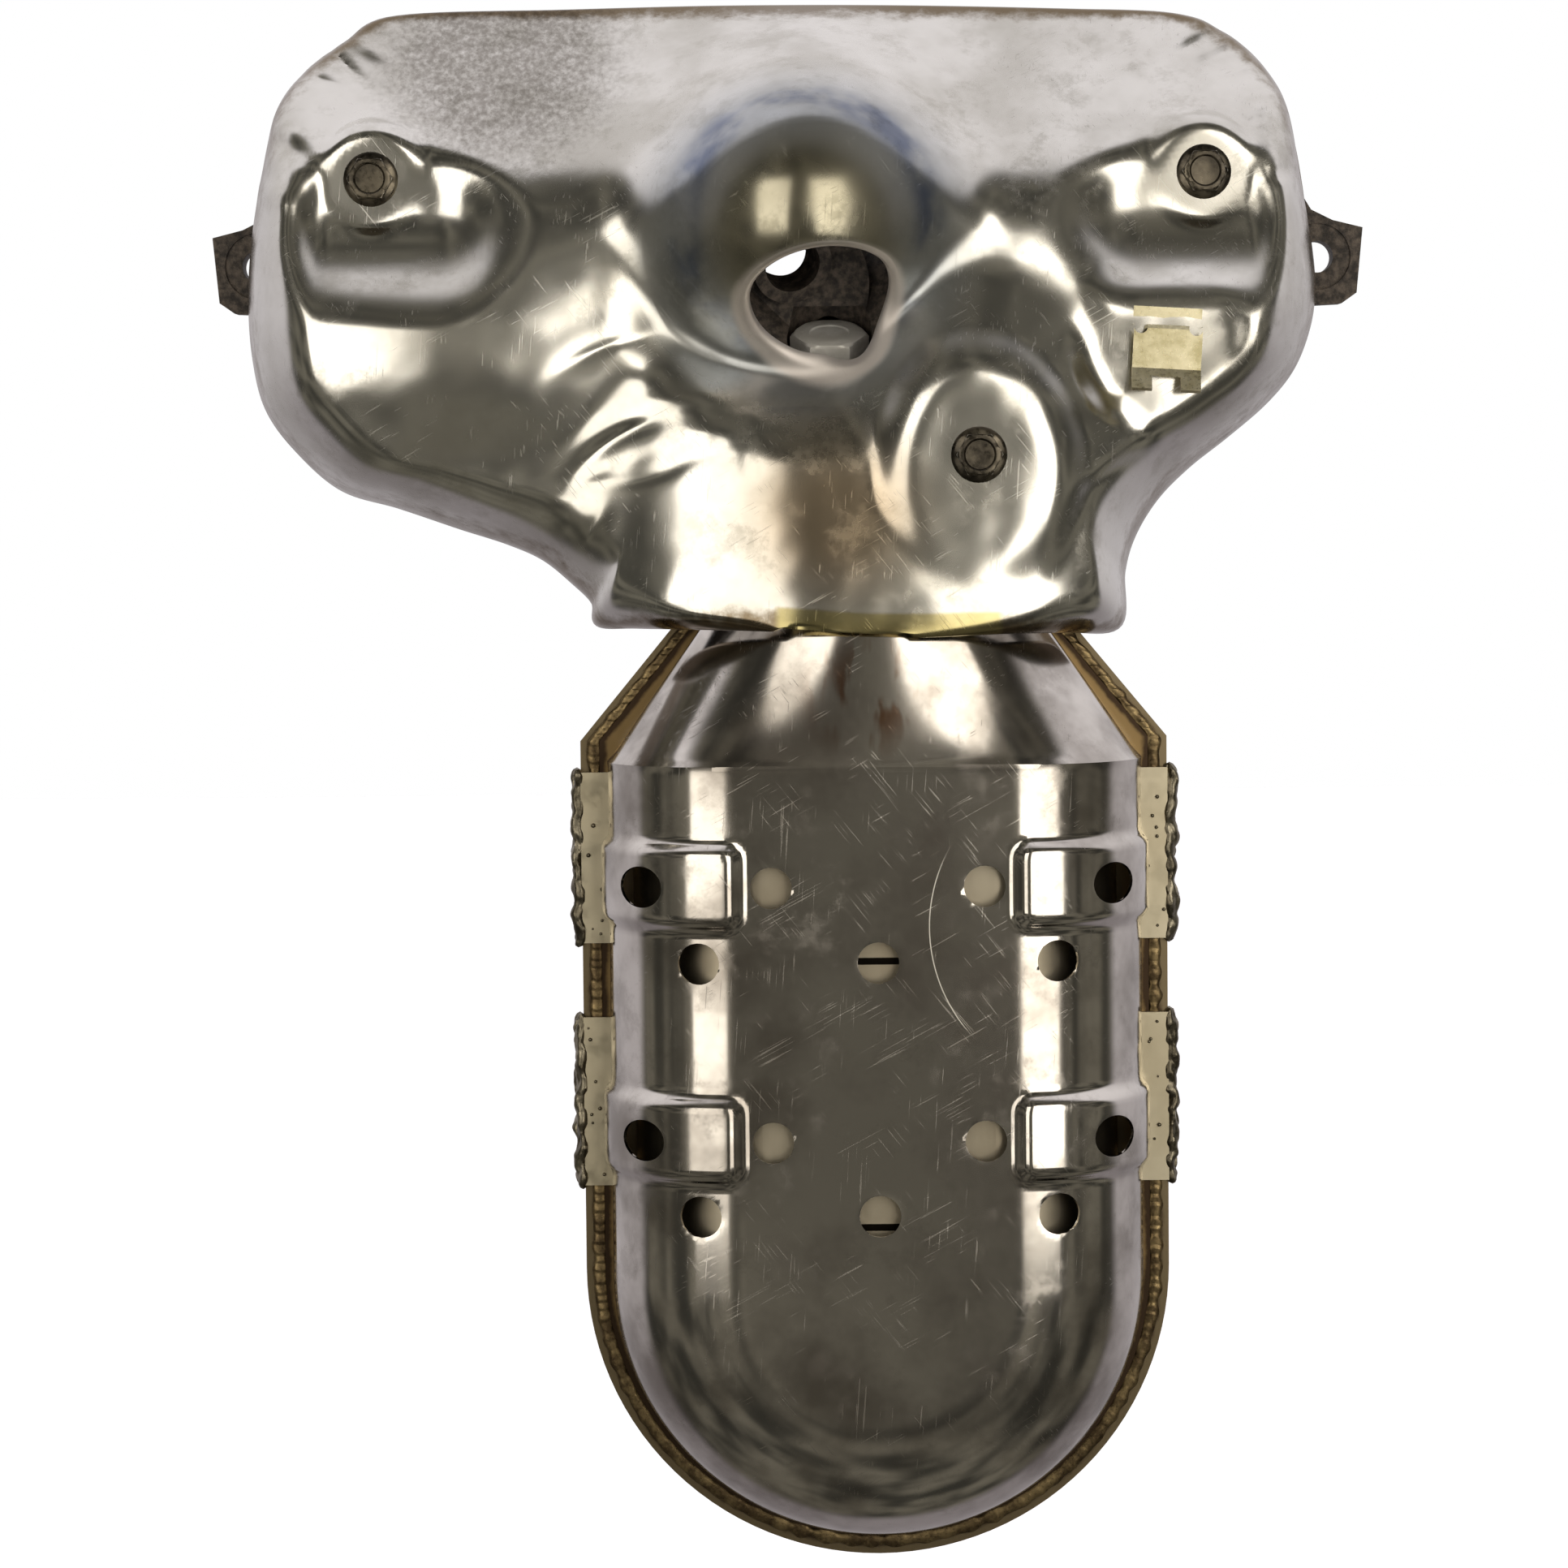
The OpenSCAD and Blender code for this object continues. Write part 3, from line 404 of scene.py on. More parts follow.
# %% [markdown]
# ## Heat-tinted stainless steel
# The converter's two half shells are stainless sheet, welded along their rims. Welding heat
# grows an oxide film whose colour tells how hot each place was: bare metal at the very rim,
# smoky brown beside the seam, then straw that fades into pale satin. The colours could be
# painted in bands. Here they go by the distance in from the rim, which noise makes wander.

# %% The converter's outline
CX = 26        # x of the converter's middle
SPLIT_D = 66   # depth of the plane where its halves meet
SHOULDER_Z, ROUND_Z, COVER_TOP_Z = -161.5, -326.5, -112
RIM_W, RIM_TOP_W, RIM_SHOULDER_Z, RIM_TOP_Z = 94.3, 53, -155.5, -105.5
RIM_TAPER = (RIM_W - RIM_TOP_W) / (RIM_TOP_Z - RIM_SHOULDER_Z)
RIB_Z = (-223, -307)  # heights of the grooves pressed into the half shells
print("the rim narrows by", round(RIM_TAPER, 3), "mm for each mm up")

# %% Tint by the distance from the rim
def tinted_finish(name, bare, straw, brown, polish, grooves=()):
    """Heat-tinted steel. The distance in from the rim is the rim's half width, less how far
    a place is from the middle line, or below it from the round end's centre. It picks bare,
    brown, straw and satin in turn. grooves are the heights of pressed grooves, each drawn as
    a dark line of painted shade, with the dirt that lies in it."""
    material, tree, place, shader = new_material(name)
    shader.inputs["Metallic"].default_value = 1.0
    at = add(tree, "SeparateXYZ", place).node.outputs
    across = add(tree, "Math", at["X"], CX * MM, operation="SUBTRACT")
    below = add(tree, "Math", at["Z"], ROUND_Z * MM, operation="SUBTRACT")
    below = add(tree, "Math", below, 0.0, operation="MINIMUM")
    off_middle = add(tree, "CombineXYZ", across, below)
    off_middle = add(tree, "VectorMath", off_middle, operation="LENGTH")
    above = add(tree, "Math", at["Z"], RIM_SHOULDER_Z * MM, operation="SUBTRACT")
    above = add(tree, "Math", above, 0.0, operation="MAXIMUM")
    wide = add(tree, "Math", above, -RIM_TAPER, RIM_W * MM, **TIMES_PLUS)
    inset = add(tree, "Math", wide, off_middle, operation="SUBTRACT")
    wander = add(tree, "TexNoise", place, blobs(12), 4, 0.65)
    wander = add(tree, "Math", wander, 4 * MM, inset, **TIMES_PLUS)
    satin = add(tree, "TexNoise", place, blobs(20), 4)
    satin = add(tree, "MapRange", satin, 0.3, 0.7, **SMOOTH)
    satin = add(tree, "Mix", satin, "#b9b09d", "#a89e8b", **COLOURS)
    colour = bare
    for first, last, next_colour in ((3.5, 5.5, brown), (9.4, 11.2, straw), (12.5, 22, satin)):
        share = add(tree, "MapRange", wander, first * MM, last * MM, **SMOOTH)
        colour = add(tree, "Mix", share, colour, next_colour, **COLOURS)
    tree.links.new(colour, shader.inputs["Base Color"])
    # Each groove is a near-black line of painted shade, with its dirt: the sheet's outer face has no
    # groove to shade it.
    for z in grooves:
        line = add(tree, "Math", at["Z"], z * MM, 1.1 * MM, operation="COMPARE")
        line = add(tree, "Math", line, near(tree, place, CX, z, 30, 34), **TIMES)
        over(tree, shader, line, "#15120e")
    # Brush marks stand upright. They are drawn 0.6 mm wide, because real ones wouldn't show.
    brushed = add(tree, "Mapping", place, Scale=blobs(0.6, 0.6, 7.2))
    brushed = add(tree, "TexNoise", brushed, 1.0, 2, 0.6)
    rough = add(tree, "Math", brushed, 0.12, polish, **TIMES_PLUS)
    tree.links.new(rough, shader.inputs["Roughness"])
    relief = add(tree, "Bump", Height=brushed, Distance=0.006 * MM, Strength=1.0)
    tree.links.new(relief, shader.inputs["Normal"])
    return material


# The half shells shine in brown and straw. The flange plates are thicker, duller and darker.
TINTED = tinted_finish("heat_tinted_stainless", "#7d7058", "#8a7450", "#43362a", 0.3, RIB_Z)
FLANGE_STEEL = tinted_finish("flange_plate_steel", "#75684f", "#6f5f46", "#43372a", 0.38)
print(TINTED.name, "and", FLANGE_STEEL.name, "made")

# %% [markdown]
# ## Cast, welded and plated surfaces
# A sand-cast manifold keeps the print of its sand, a weld keeps its scale, and plated or
# turned steel has a fine tooth. Each could have its own set of nodes, but they differ only
# in colour, shine and the size of their grit. So one function makes them all, from a coarse
# noise for the mottling and a fine one for the grit.

# %% Grit of a real size
def rough_finish(name, dark, light, metal, rough, grit, depth):
    """Mottled colour from dark to light, light crests, and grit that is grit mm across and
    depth mm high. Its roughness swings by 0.12 about rough."""
    material, tree, place, shader = new_material(name)
    shader.inputs["Metallic"].default_value = metal
    mottle = add(tree, "TexNoise", place, blobs(grit * 6), 4, 0.6)
    mottle = add(tree, "MapRange", mottle, 0.35, 0.68, **SMOOTH)
    grains = add(tree, "TexNoise", place, blobs(grit), 3, 0.65)
    crests = add(tree, "MapRange", grains, 0.55, 0.75, 0.0, 0.6, **SMOOTH)
    colour = add(tree, "Mix", mottle, dark, light, **COLOURS)
    colour = add(tree, "Mix", crests, colour, light, **COLOURS)
    tree.links.new(colour, shader.inputs["Base Color"])
    roughness = add(tree, "MapRange", grains, 0.3, 0.7, rough - 0.12, rough + 0.12, **SMOOTH)
    tree.links.new(roughness, shader.inputs["Roughness"])
    relief = add(tree, "Bump", Height=grains, Distance=depth * MM, Strength=1.0)
    tree.links.new(relief, shader.inputs["Normal"])
    return material


# Oxide scale on a weld made by machine: brown, so that its ripples glint only on their crests.
WELD = rough_finish("weld_scale", "#554733", "#8f7d5a", 0.95, 0.38, 0.9, 0.02)
# A weld by hand, brushed clean: greyer and lumpier.
TAB_WELD = rough_finish("tab_weld_steel", "#5b5548", "#8f8877", 1.0, 0.36, 1.2, 0.012)
# Cast iron from a sand mould: grit of half a millimetre takes away all shine, and brown
# oxide covers most of the metal, so it is only partly metallic.
CASTING = rough_finish("sand_cast_iron", "#2b2622", "#5e544a", 0.3, 0.6, 0.5, 0.14)
# Forged bolt steel with an oil film: dark, with soft highlights on its corners.
BOLT_STEEL = rough_finish("oiled_bolt_steel", "#3f3b35", "#6f685b", 1.0, 0.33, 2.4, 0.01)
# Steel strip with yellowish zinc plate: pale and warm, with a milky sheen.
ZINC = rough_finish("yellow_zinc_plate", "#b5ac86", "#dcd4b4", 1.0, 0.36, 1.2, 0.01)
# Turned steel under a pale film, so half dull and only partly metallic: its edges show
# inside the dark hole.
PLUG_STEEL = rough_finish("turned_plug_steel", "#d6d3cb", "#f2f0ea", 0.3, 0.4, 2.0, 0.01)
# A copper washer that heat has dulled to brown.
COPPER = rough_finish("dull_copper", "#5c3a26", "#a06c48", 1.0, 0.4, 1.0, 0.01)
# Embossed layers of spring steel sheet: an even grey.
GASKET_STEEL = rough_finish("layered_gasket_sheet", "#5f5c56", "#9a968c", 1.0, 0.4, 1.5, 0.01)
# Satin-rolled stainless strip: even and warm, with next to no relief.
SATIN = rough_finish("satin_stainless_strip", "#bdb39a", "#cdc4ac", 1.0, 0.4, 7.0, 0.002)
# Ceramic honeycomb with its catalyst coat: matt tan, with no metal in it.
CERAMIC = rough_finish("coated_cordierite", "#a8926c", "#cbb99a", 0.0, 0.85, 0.8, 0.05)
# A mat of white ceramic fibre: woolly and quite dull.
MAT = rough_finish("ceramic_fibre_mat", "#bdb7a8", "#e4dfd2", 0.0, 0.95, 0.7, 0.12)
# Knitted stainless wire: bright loops over dark gaps.
MESH = rough_finish("knitted_steel_wire", "#55534f", "#a3a19b", 1.0, 0.4, 0.45, 0.12)
print(len(bpy.data.materials), "materials")

# %% [markdown]
# ## The manifold's heat shield
# One blank of aluminised sheet is pressed over the casting: a belly that swells into the
# neck, a dome with the sensor's hole, pockets for the bolts, and walls that turn down to the
# edge. It could be sculpted, or built from curved patches that would have to meet. Instead
# the whole front is one function, the depth at each place. It is worked out on closed rings
# that run from the edge to the hole, so the sheet has no seam.

# %% The shield's edge
SHEET_T = 1.2
EDGE_DEPTH, EDGE_TOP = 16, 82.5  # depth of most of the edge, and height of its top
# Each point of the edge holds x, z, the depth there and the width of the wall that rises
# from it, clockwise from the front, all in mm.
EDGE = np.array([
    [-128, 80.5, 16, 24], [-72, 82, 16, 16], [-18, 82.9, 16, 12], [36, 82.4, 16, 12],
    [89, 80.8, 16, 16], [127, 78.9, 16, 24], [143, 72.6, 16, 34], [155, 61.7, 16, 32],
    [163, 47, 16, 28], [167.4, 22.6, 16, 26], [170.6, 4, 16, 26], [171.8, -10, 16, 26],
    [170.4, -23, 16, 25], [165, -37, 17, 24], [156, -48, 19, 24], [143, -58.8, 24, 24],
    [130, -68.6, 30, 24], [119, -79, 38, 24], [111, -91, 45, 24], [107, -103, 51, 22],
    [105.3, -120, 56, 20], [86, -120.3, 84, 12], [66, -120, 105, 6], [40, -120.6, 112.5, 3],
    [19, -120.2, 113, 3], [-4, -118.5, 111, 3], [-32, -118.1, 90, 6], [-50, -118.1, 72, 12],
    [-62.2, -117.8, 58, 18], [-63.5, -111, 56, 20], [-70, -104.5, 51, 22],
    [-80, -96.6, 45, 23], [-92, -91.3, 39, 24], [-108, -86.2, 32, 24], [-128, -79.4, 25, 24],
    [-147, -73.5, 20, 25], [-161.4, -61, 18, 26], [-171, -47.5, 17, 26], [-175, -31, 16, 26],
    [-176, -12, 16, 26], [-174.6, 8, 16, 26], [-170.6, 31, 16, 28], [-166, 49.5, 16, 30],
    [-157, 62, 16, 34], [-144, 72, 16, 34]])


def edge_at(k):
    """The closed smooth curve through the edge's points, at k counted in points: the usual
    cubic through four neighbours."""
    i, t = np.floor(k).astype(int), (k % 1)[:, None]
    a, b, c, d = (EDGE[(i + step) % len(EDGE)] for step in (-1, 0, 1, 2))
    return 0.5 * (2 * b + (c - a) * t + (2 * a - 5 * b + 4 * c - d) * t ** 2
        + (3 * b - a - 3 * c + d) * t ** 3)


outline = edge_at(np.linspace(0, len(EDGE), 2000))[:, :2]
print("the edge is", round(np.linalg.norm(np.diff(outline, axis=0), axis=1).sum()), "mm long")

# %% Belly and top slope
BELLY_DEPTH = 84


def belly(x, z):
    """The broad press form: a plain that swells below into the neck and drops off to both
    sides, plus bells for the arch over the dome and for two lower bulges."""
    swell = 17 * ramp(8, 54, -z) + 0.17 * np.maximum(-z - 50, 0)
    drop = sum(slope * soft_max(side * (x - start), 0, 12) for side, start, slope in (
        (-1, 2, 0.2), (-1, -36, 0.4), (1, 44, 0.15 * ramp(10, -22, z)), (1, 84, 0.4)))
    left_bulge = 9.5 * bump(x, z, -112, -31, np.where(x < -112, 56, 62), 28)
    right_bulge = 10 * bump(x, z, 130, -31, 38, 28)
    arch = 15 * bump(x, z, 8, 48, 50, 26)
    return soft_max(BELLY_DEPTH, BELLY_DEPTH + swell - drop, 9) + arch + left_bulge + right_bulge


def top_slope(x, z):
    """The long slope that comes up from the top edge. It is steeper above the dome."""
    return EDGE_DEPTH + (EDGE_TOP - z) * (1 + 1.25 * np.exp(-((x - 6) / 36) ** 2))


print("depth of the neck:", round(float(belly(26.0, -110.0)), 1), "mm")

# %% [markdown]
# ## The dome for the gas sensor
# A gas sensor screws into the casting through the shield, so the sheet has a ball-shaped
# dome whose hole faces down towards the sensor, with a low groove round it. A ball mesh
# could be joined on, but the joint would show in the reflections. So the dome is one more
# depth function, and the deeper of dome and belly is taken with a soft valley between them.

# %% Dome
DOME = np.array([5, 82, 11])  # x, depth and z of the dome's centre
DOME_R = 38


def dome(x, z):
    """A ball cap whose flank runs out straight. The flank is steepest below, at the hole."""
    q = np.hypot(x - DOME[0], z - DOME[2])
    up = (z - DOME[2]) / np.maximum(q, 1e-6)
    steep = 0.95 - 0.37 * up
    brim = DOME_R * steep / np.hypot(1, steep)
    cap = DOME[1] + np.sqrt(np.maximum(DOME_R ** 2 - np.minimum(q, brim) ** 2, 0))
    return cap - steep * np.maximum(q - brim, 0)


print("the dome's top is", round(float(dome(5.0, 11.0))), "mm deep")

# %% Front with dome and flats
EYE = np.array([8, 2])           # x and z of the rings' middle
LOW_BOLT = (58.9, -65.1, 109)    # x, z and depth of a bolt's seat
CLIP = (118.8, -30.2, 90)        # the same for the foot of the connector's clip


def pressed_face(x, z):
    """Depth of the front: the belly, lowered to a groove round the dome, then the deeper of
    that and the dome, then of that and a blunt cone for the low bolt. Both seats are flat."""
    away = np.hypot(x - EYE[0], z - EYE[1])
    up = (z - EYE[1]) / np.maximum(away, 1e-6)
    mound = (12.5 * ramp(-0.6, 0.15, up) - 11 - ramp(0.3, 1, up)) * (
        1 - ramp(39, 62 + 10 * ramp(0.2, -0.6, up), away))
    depth = soft_max(belly(x, z) + mound, dome(x, z), 12)
    from_pad = np.hypot(np.where(x > 57, 0.85, 1) * (x - 57), 0.7 * (z + 70))
    depth = soft_max(depth, LOW_BOLT[2] - 0.78 * soft_max(from_pad - 19, 0, 5), 7)
    depth = tween(depth, LOW_BOLT[2], 1 - ramp(14, 32, from_pad))
    return tween(depth, CLIP[2], 1 - ramp(20, 34, np.hypot(x - CLIP[0], z - CLIP[1])))


print("depth at the low bolt:", round(float(pressed_face(*LOW_BOLT[:2])), 1), "mm")

# %% [markdown]
# ## Pockets for the side bolts
# The two outer bolts sit in oval pockets, so that a socket can reach them. A pocket could be
# cut with a Boolean and rounded with a Bevel, but on a curved sheet its rim would be uneven.
# As a depth function it is the shallower of the front and the hollow, softly joined.

# %% Side pockets
SIDE_BOLT = (132.8, 24.6, 68)    # x, z and depth of the right bolt's seat


def with_pockets(x, z, depth):
    """Adds the side bolts' oval pockets. Each is a shelf where the shield is lower than the
    bolt's seat, and a hollow where it is higher. The hollow's floor climbs below the bolt in
    a long ledge. The seat itself is flat."""
    side = np.where(x < 0, -1, 1)
    u = (x - side * SIDE_BOLT[0]) * side
    u = u * np.where(u < 0, 0.62, 1)
    v = (z - 18) * 0.85
    seat = SIDE_BOLT[2]
    shelf = seat - 2.2 * soft_max(np.hypot(u, v) - 17, 0, 5)
    hollow = seat + 1.05 * soft_max(4 - z, 0, 16) + 1.3 * soft_max(
        np.hypot(u, np.maximum(v, 0)) - 19, 0, 6)
    depth = -soft_max(-soft_max(depth, shelf, 3), -hollow, 7)
    from_bolt = np.hypot(abs(x) - SIDE_BOLT[0], z - SIDE_BOLT[1])
    return tween(depth, seat, 1 - ramp(13, 20, from_bolt))


print("depth at a side bolt:", round(float(with_pockets(*SIDE_BOLT[:2], 84.0)), 1), "mm")

# %% [markdown]
# ## Buckles and gathers
# Where the press had more sheet than room, it buckled: long low ridges beside the neck, and
# short folds at the two upper corners. A noise texture would make them all alike. Here each
# ridge has a place, a direction and a height of its own, so that it can follow the real one.

# %% Creases
# Each crease holds x, z, its direction in degrees, its half length, its width, its height
# and how far its middle bends to its left.
CREASES = np.array([
    [-61, -26, 22, 14, 4.4, 0.7, 1], [-59, -31.5, 22, 13, 2.2, -0.9, 1],
    [-56, -37, 20, 15, 4.4, 0.8, 1], [-53, -56, 28, 20, 3.4, 1.1, 3.5],
    [-51, -60.5, 26, 17, 2.6, -0.9, 3.2], [-49, -65, 22, 18, 3.0, 0.8, 2.5],
    [-48, -70, 10, 18, 2.8, -1.0, -2], [-31, -65.5, 19, 11, 3.0, -0.9, 1],
    [-13, -64, 90, 9, 3.0, -0.6, 0], [-25.5, -102, 38, 12, 2.8, -0.9, 0],
    [-28.6, -17.8, 0, 4, 3.0, -0.8, 0], [-61.5, -86.6, 60, 6, 3, -1.2, 0],
    [100, -72, 35, 12, 2.6, -1.1, 1], [102, -66, 33, 13, 3.2, 0.9, 1],
    [92, -84, 60, 12, 3.0, -0.9, 1]])


def creases(x, z):
    """Long narrow ridges: each is a flat-topped bell along its direction times a bell across
    it, and the line that it follows bends like a parabola."""
    total = np.zeros_like(x)
    for x0, z0, turn, length, width, height, bend in CREASES:
        c, s = math.cos(math.radians(turn)), math.sin(math.radians(turn))
        along, across = (x - x0) * c + (z - z0) * s, (z - z0) * c - (x - x0) * s
        across = across - bend * (1 - (along / length) ** 2)
        total += 0.75 * height * np.exp(-(along / length) ** 2 - (across / width) ** 2)
    return total


print(len(CREASES), "creases")

# %% Gathers at the upper corners
FOLDS = 11  # at each corner


def gathers(x, z):
    """Short folds at the two upper corners, where the blank had too much sheet. Each is a
    bell along a line that runs inwards from the edge, times a narrower bell across it."""
    rng = np.random.default_rng(5)
    total = np.zeros_like(x)
    for first, last in ((40.6, 45.2), (4.2, 8.6)):  # places along the edge, in its points
        for k in np.linspace(first, last, FOLDS) + rng.uniform(-0.15, 0.15, FOLDS):
            place = edge_at(np.array([k]))[0]
            inwards = np.arctan2(10 - place[1], np.sign(place[0]) * 95 - place[0])
            inwards += rng.uniform(-0.5, 0.5)
            c, s = math.cos(inwards), math.sin(inwards)
            along = (x - place[0]) * c + (z - place[1]) * s - rng.uniform(5, 12)
            across = (z - place[1]) * c - (x - place[0]) * s
            total += rng.uniform(-1.9, 1.7) * np.exp(
                -(along / rng.uniform(5, 12)) ** 2 - (across / rng.uniform(1.7, 3.0)) ** 2)
    return total


print(2 * FOLDS, "gathers")

# %% [markdown]
# ## The sensor's hole
# The hole is round when seen along the sensor, and its edge is rolled inwards so that it
# can't cut. A Boolean cut would leave ragged triangles. Instead the inner rings of the mesh
# are led to the place where the sensor's cylinder meets the front, which is found by
# halving, and five more rings then carry the sheet round the lip's small radius.

# %% Edge of the hole
HOLE_R, LIP_R = 24.6, 2.0      # the sheet's round edge, and the roll that narrows it
HOLE_LEAN = math.radians(49)   # the hole faces this far down from straight ahead
HOLE_FROM = (9.6, 84.5, 3.1)   # x, depth and z of a point on the hole's axis


def hole_edge(turn):
    """Where the tilted round hole of the sensor cuts the pressed face, for each angle turn
    round it: each line along the hole's axis is halved again and again until it meets it."""
    down, out = math.sin(HOLE_LEAN), math.cos(HOLE_LEAN)
    x = HOLE_FROM[0] + HOLE_R * np.cos(turn)
    z0 = HOLE_FROM[2] + HOLE_R * np.sin(turn) * out
    depth0 = HOLE_FROM[1] + HOLE_R * np.sin(turn) * down
    low, high = np.full_like(turn, 2.0), np.full_like(turn, 80.0)
    for _ in range(30):
        t = (low + high) / 2
        above = depth0 + t * out > pressed_face(x, z0 - t * down)
        low, high = np.where(above, low, t), np.where(above, t, high)
    return np.stack([x, z0 - low * down], -1)


quarters = hole_edge(np.arange(4) * np.pi / 2)
print("seen from the front, the hole is", round(float(quarters[1, 1] - quarters[3, 1])), "mm high")

# %% Rings from the edge to the hole
SPOKES = 440
WALL_RINGS, FIELD_RINGS, CORE_RINGS = 32, 44, 30
CORE_R = 54  # the core's rings change from round the eye to round the hole


def shield_sheet():
    """Points of the pressed skin: ring by ring from the edge inwards, spoke by spoke round.
    The wall is a quarter of an ellipse from the edge's depth up to the pressed face. Where
    the top slope is lower than that, it takes over with a soft shoulder."""
    edge = edge_at(np.arange(SPOKES) * len(EDGE) / SPOKES)
    ray = edge[:, :2] - EYE
    reach = np.linalg.norm(ray, axis=1, keepdims=True)
    ray = ray / reach
    reach = reach - CORE_R
    hole = hole_edge(np.arctan2(ray[:, 1] / math.cos(HOLE_LEAN), ray[:, 0]))
    turn = np.linspace(0, np.pi / 2, WALL_RINGS, endpoint=False)[:, None, None]
    wall_reach = np.minimum(edge[:, 3:4], reach * 0.7)
    steps = [wall_reach * (1 - np.cos(turn)),
        tween(wall_reach, reach, np.linspace(0, 1, FIELD_RINGS, endpoint=False)[:, None, None])]
    plan = edge[:, :2] - ray * np.concatenate(steps)
    core = EYE + CORE_R * ray
    inner = tween(core, hole, np.linspace(0, 1, CORE_RINGS)[:, None, None])
    plan = np.concatenate([plan, inner])
    x, z = plan[..., 0], plan[..., 1]
    from_edge = np.linalg.norm(plan - edge[:, :2], axis=-1)
    from_hole = np.linalg.norm(plan - hole, axis=-1) + 0.16 * (z + 33)
    t = np.minimum(from_edge / edge[:, 3], 1)
    wall = np.sqrt(1 - (1 - t) ** 2)
    depth = tween(edge[:, 2], pressed_face(x, z) + creases(x, z), wall)
    crisp = 1 - ramp(32, 56, np.hypot(x - DOME[0], z - DOME[2]))
    depth = -soft_max(-depth, -top_slope(x, z), tween(18, 4, crisp))
    depth += wall * (0.13 * waviness(plan, 46, 3) + 0.03 * waviness(plan, 15, 4)) + gathers(x, z)
    depth = with_pockets(x, z, depth)
    return np.stack([x, -depth, z], -1), from_edge, from_hole


skin, from_edge, from_hole = shield_sheet()
print("the pressed skin has", len(skin), "rings of", SPOKES, "points")

# %% Rolled lip
LIP_TURNS = (20, 40, 60, 80, 95)  # degrees


def lip_rings(skin):
    """Rings round the lip: from the last ring, a circle of radius LIP_R turns from the
    sheet's own inward direction to straight back along the hole's axis and a little over."""
    inward = skin[-1] - skin[-2]
    inward /= np.linalg.norm(inward, axis=1, keepdims=True)
    back = np.array([0, math.cos(HOLE_LEAN), math.sin(HOLE_LEAN)])
    turn = np.radians(LIP_TURNS)[:, None, None]
    return skin[-1] + LIP_R * (np.sin(turn) * inward + (1 - np.cos(turn)) * back)


skin = np.concatenate([skin, lip_rings(skin)])
print("with its lip it has", len(skin), "rings")

# %% The shield and its stored distances
FAR = 99  # mm, for points that no stain reaches
faces = grid_faces(len(skin), SPOKES, closed=True)
shell = thickened(skin.reshape(-1, 3), faces, SHEET_T)
shield = add_piece(
    "manifold_shield_pressed", *shell, ALUMINISED, "aluminised_sheet", ["manifold_shield"])
for name, there, elsewhere in (("from_edge", from_edge, FAR), ("from_hole", from_hole, 0)):
    distance = np.full(len(shell[0]), elsewhere, np.float32)
    for start in (0, skin[..., 0].size):
        distance[start:start + there.size] = there.ravel()
    stored = shield.data.attributes.new(name, "FLOAT", "POINT")
    stored.data.foreach_set("value", distance)
print("stored", [attribute.name for attribute in shield.data.attributes if "from" in attribute.name])

# %% [markdown]
# ## The converter's covers
# Each cover is a tub drawn from bright stainless sheet: a flat front, round corners, a cone
# at the top and a half-round lower end. It could be a box with a wide Bevel, but the cone
# and the round end need sections of their own. So the tub is one section, from its middle to
# its foot, carried down one side, round the end and up the other.

# %% The tub's section
COVER = (85.2, 52, 43)      # half width, depth and corner radius of the straight part
COVER_TOP = (50, 42.5, 30)  # the same at the cone's top
FOOT = 1.5                  # the cover's edge stands this far off the split plane
FLAT_SHARE, CORNER_SHARE = 0.36, 0.92


def section(share, wide, deep, corner):
    """Half a tub's section: share 0 is the middle of the flat front, then comes a quarter
    circle, and share 1 is the foot of the wall. Gives the distance from the middle, the
    height above the split plane, and the outward normal's two parts."""
    flat = (wide - corner) * np.clip(share / FLAT_SHARE, 0, 1)
    turn = np.pi / 2 * np.clip((share - FLAT_SHARE) / (CORNER_SHARE - FLAT_SHARE), 0, 1)
    wall = (deep - corner - FOOT) * np.clip((share - CORNER_SHARE) / (1 - CORNER_SHARE), 0, 1)
    out = flat + corner * np.sin(turn)
    height = deep - corner * (1 - np.cos(turn)) - wall
    return out, height, np.sin(turn), np.cos(turn)


def share_of(out, wide, corner):
    """The share at which the section stands a given distance from the middle."""
    flat = wide - corner
    turn = np.arcsin(np.clip((out - flat) / corner, 0, 1))
    on_corner = FLAT_SHARE + (CORNER_SHARE - FLAT_SHARE) * turn / (np.pi / 2)
    return np.where(out < flat, FLAT_SHARE * out / flat, on_corner)


print("the flat front is", round(2 * (COVER[0] - COVER[2])), "mm wide")

# %% [markdown]
# ## Pads and vents
# Four raised pads press the cover onto the converter, and round vents let its air out. A
# Boolean could pierce them. Here points near a vent are drawn out to its circle and the
# faces inside are left out, so that each vent has a clean round edge on a fine grid.

# %% Pads and vents
PAD_Z, PAD_H, PAD_IN, PAD_RISE = (-199, -278.5), 30, 41.5, 4
PAD_FLANK, PAD_CORNER = 4.6, 6.5
VENT_R = 6.5
VENT_ROWS = ((-199.3, (33.3, 72)), (-223, (0, 56.2)), (-279.2, (33.3, 72)), (-302.6, (0, 56.2)))
VENTS = [(x, z) for z, out in VENT_ROWS for x in sorted({s * o for s in (-1, 1) for o in out})]


def pad_height(out, z):
    """Four raised pads with rounded corners: the distance inside a rounded rectangle, run
    through a smooth step, so that the flank is steep in its middle."""
    total = np.zeros_like(out)
    for middle in PAD_Z:
        a = PAD_IN + PAD_CORNER - out
        b = abs(z - middle) - PAD_H / 2 + PAD_CORNER
        inside = PAD_CORNER - np.hypot(np.maximum(a, 0), np.maximum(b, 0)) - np.minimum(
            np.maximum(a, b), 0)
        total += ramp(0, PAD_FLANK, inside)
    return PAD_RISE * total * (1 - 0.4 * ramp(60, 85, out))


print(len(VENTS), "vents in each cover")

# %% Rows round the tub
CONE_LEN, BODY_LEN, SECTION_LEN = 50, 165, 119


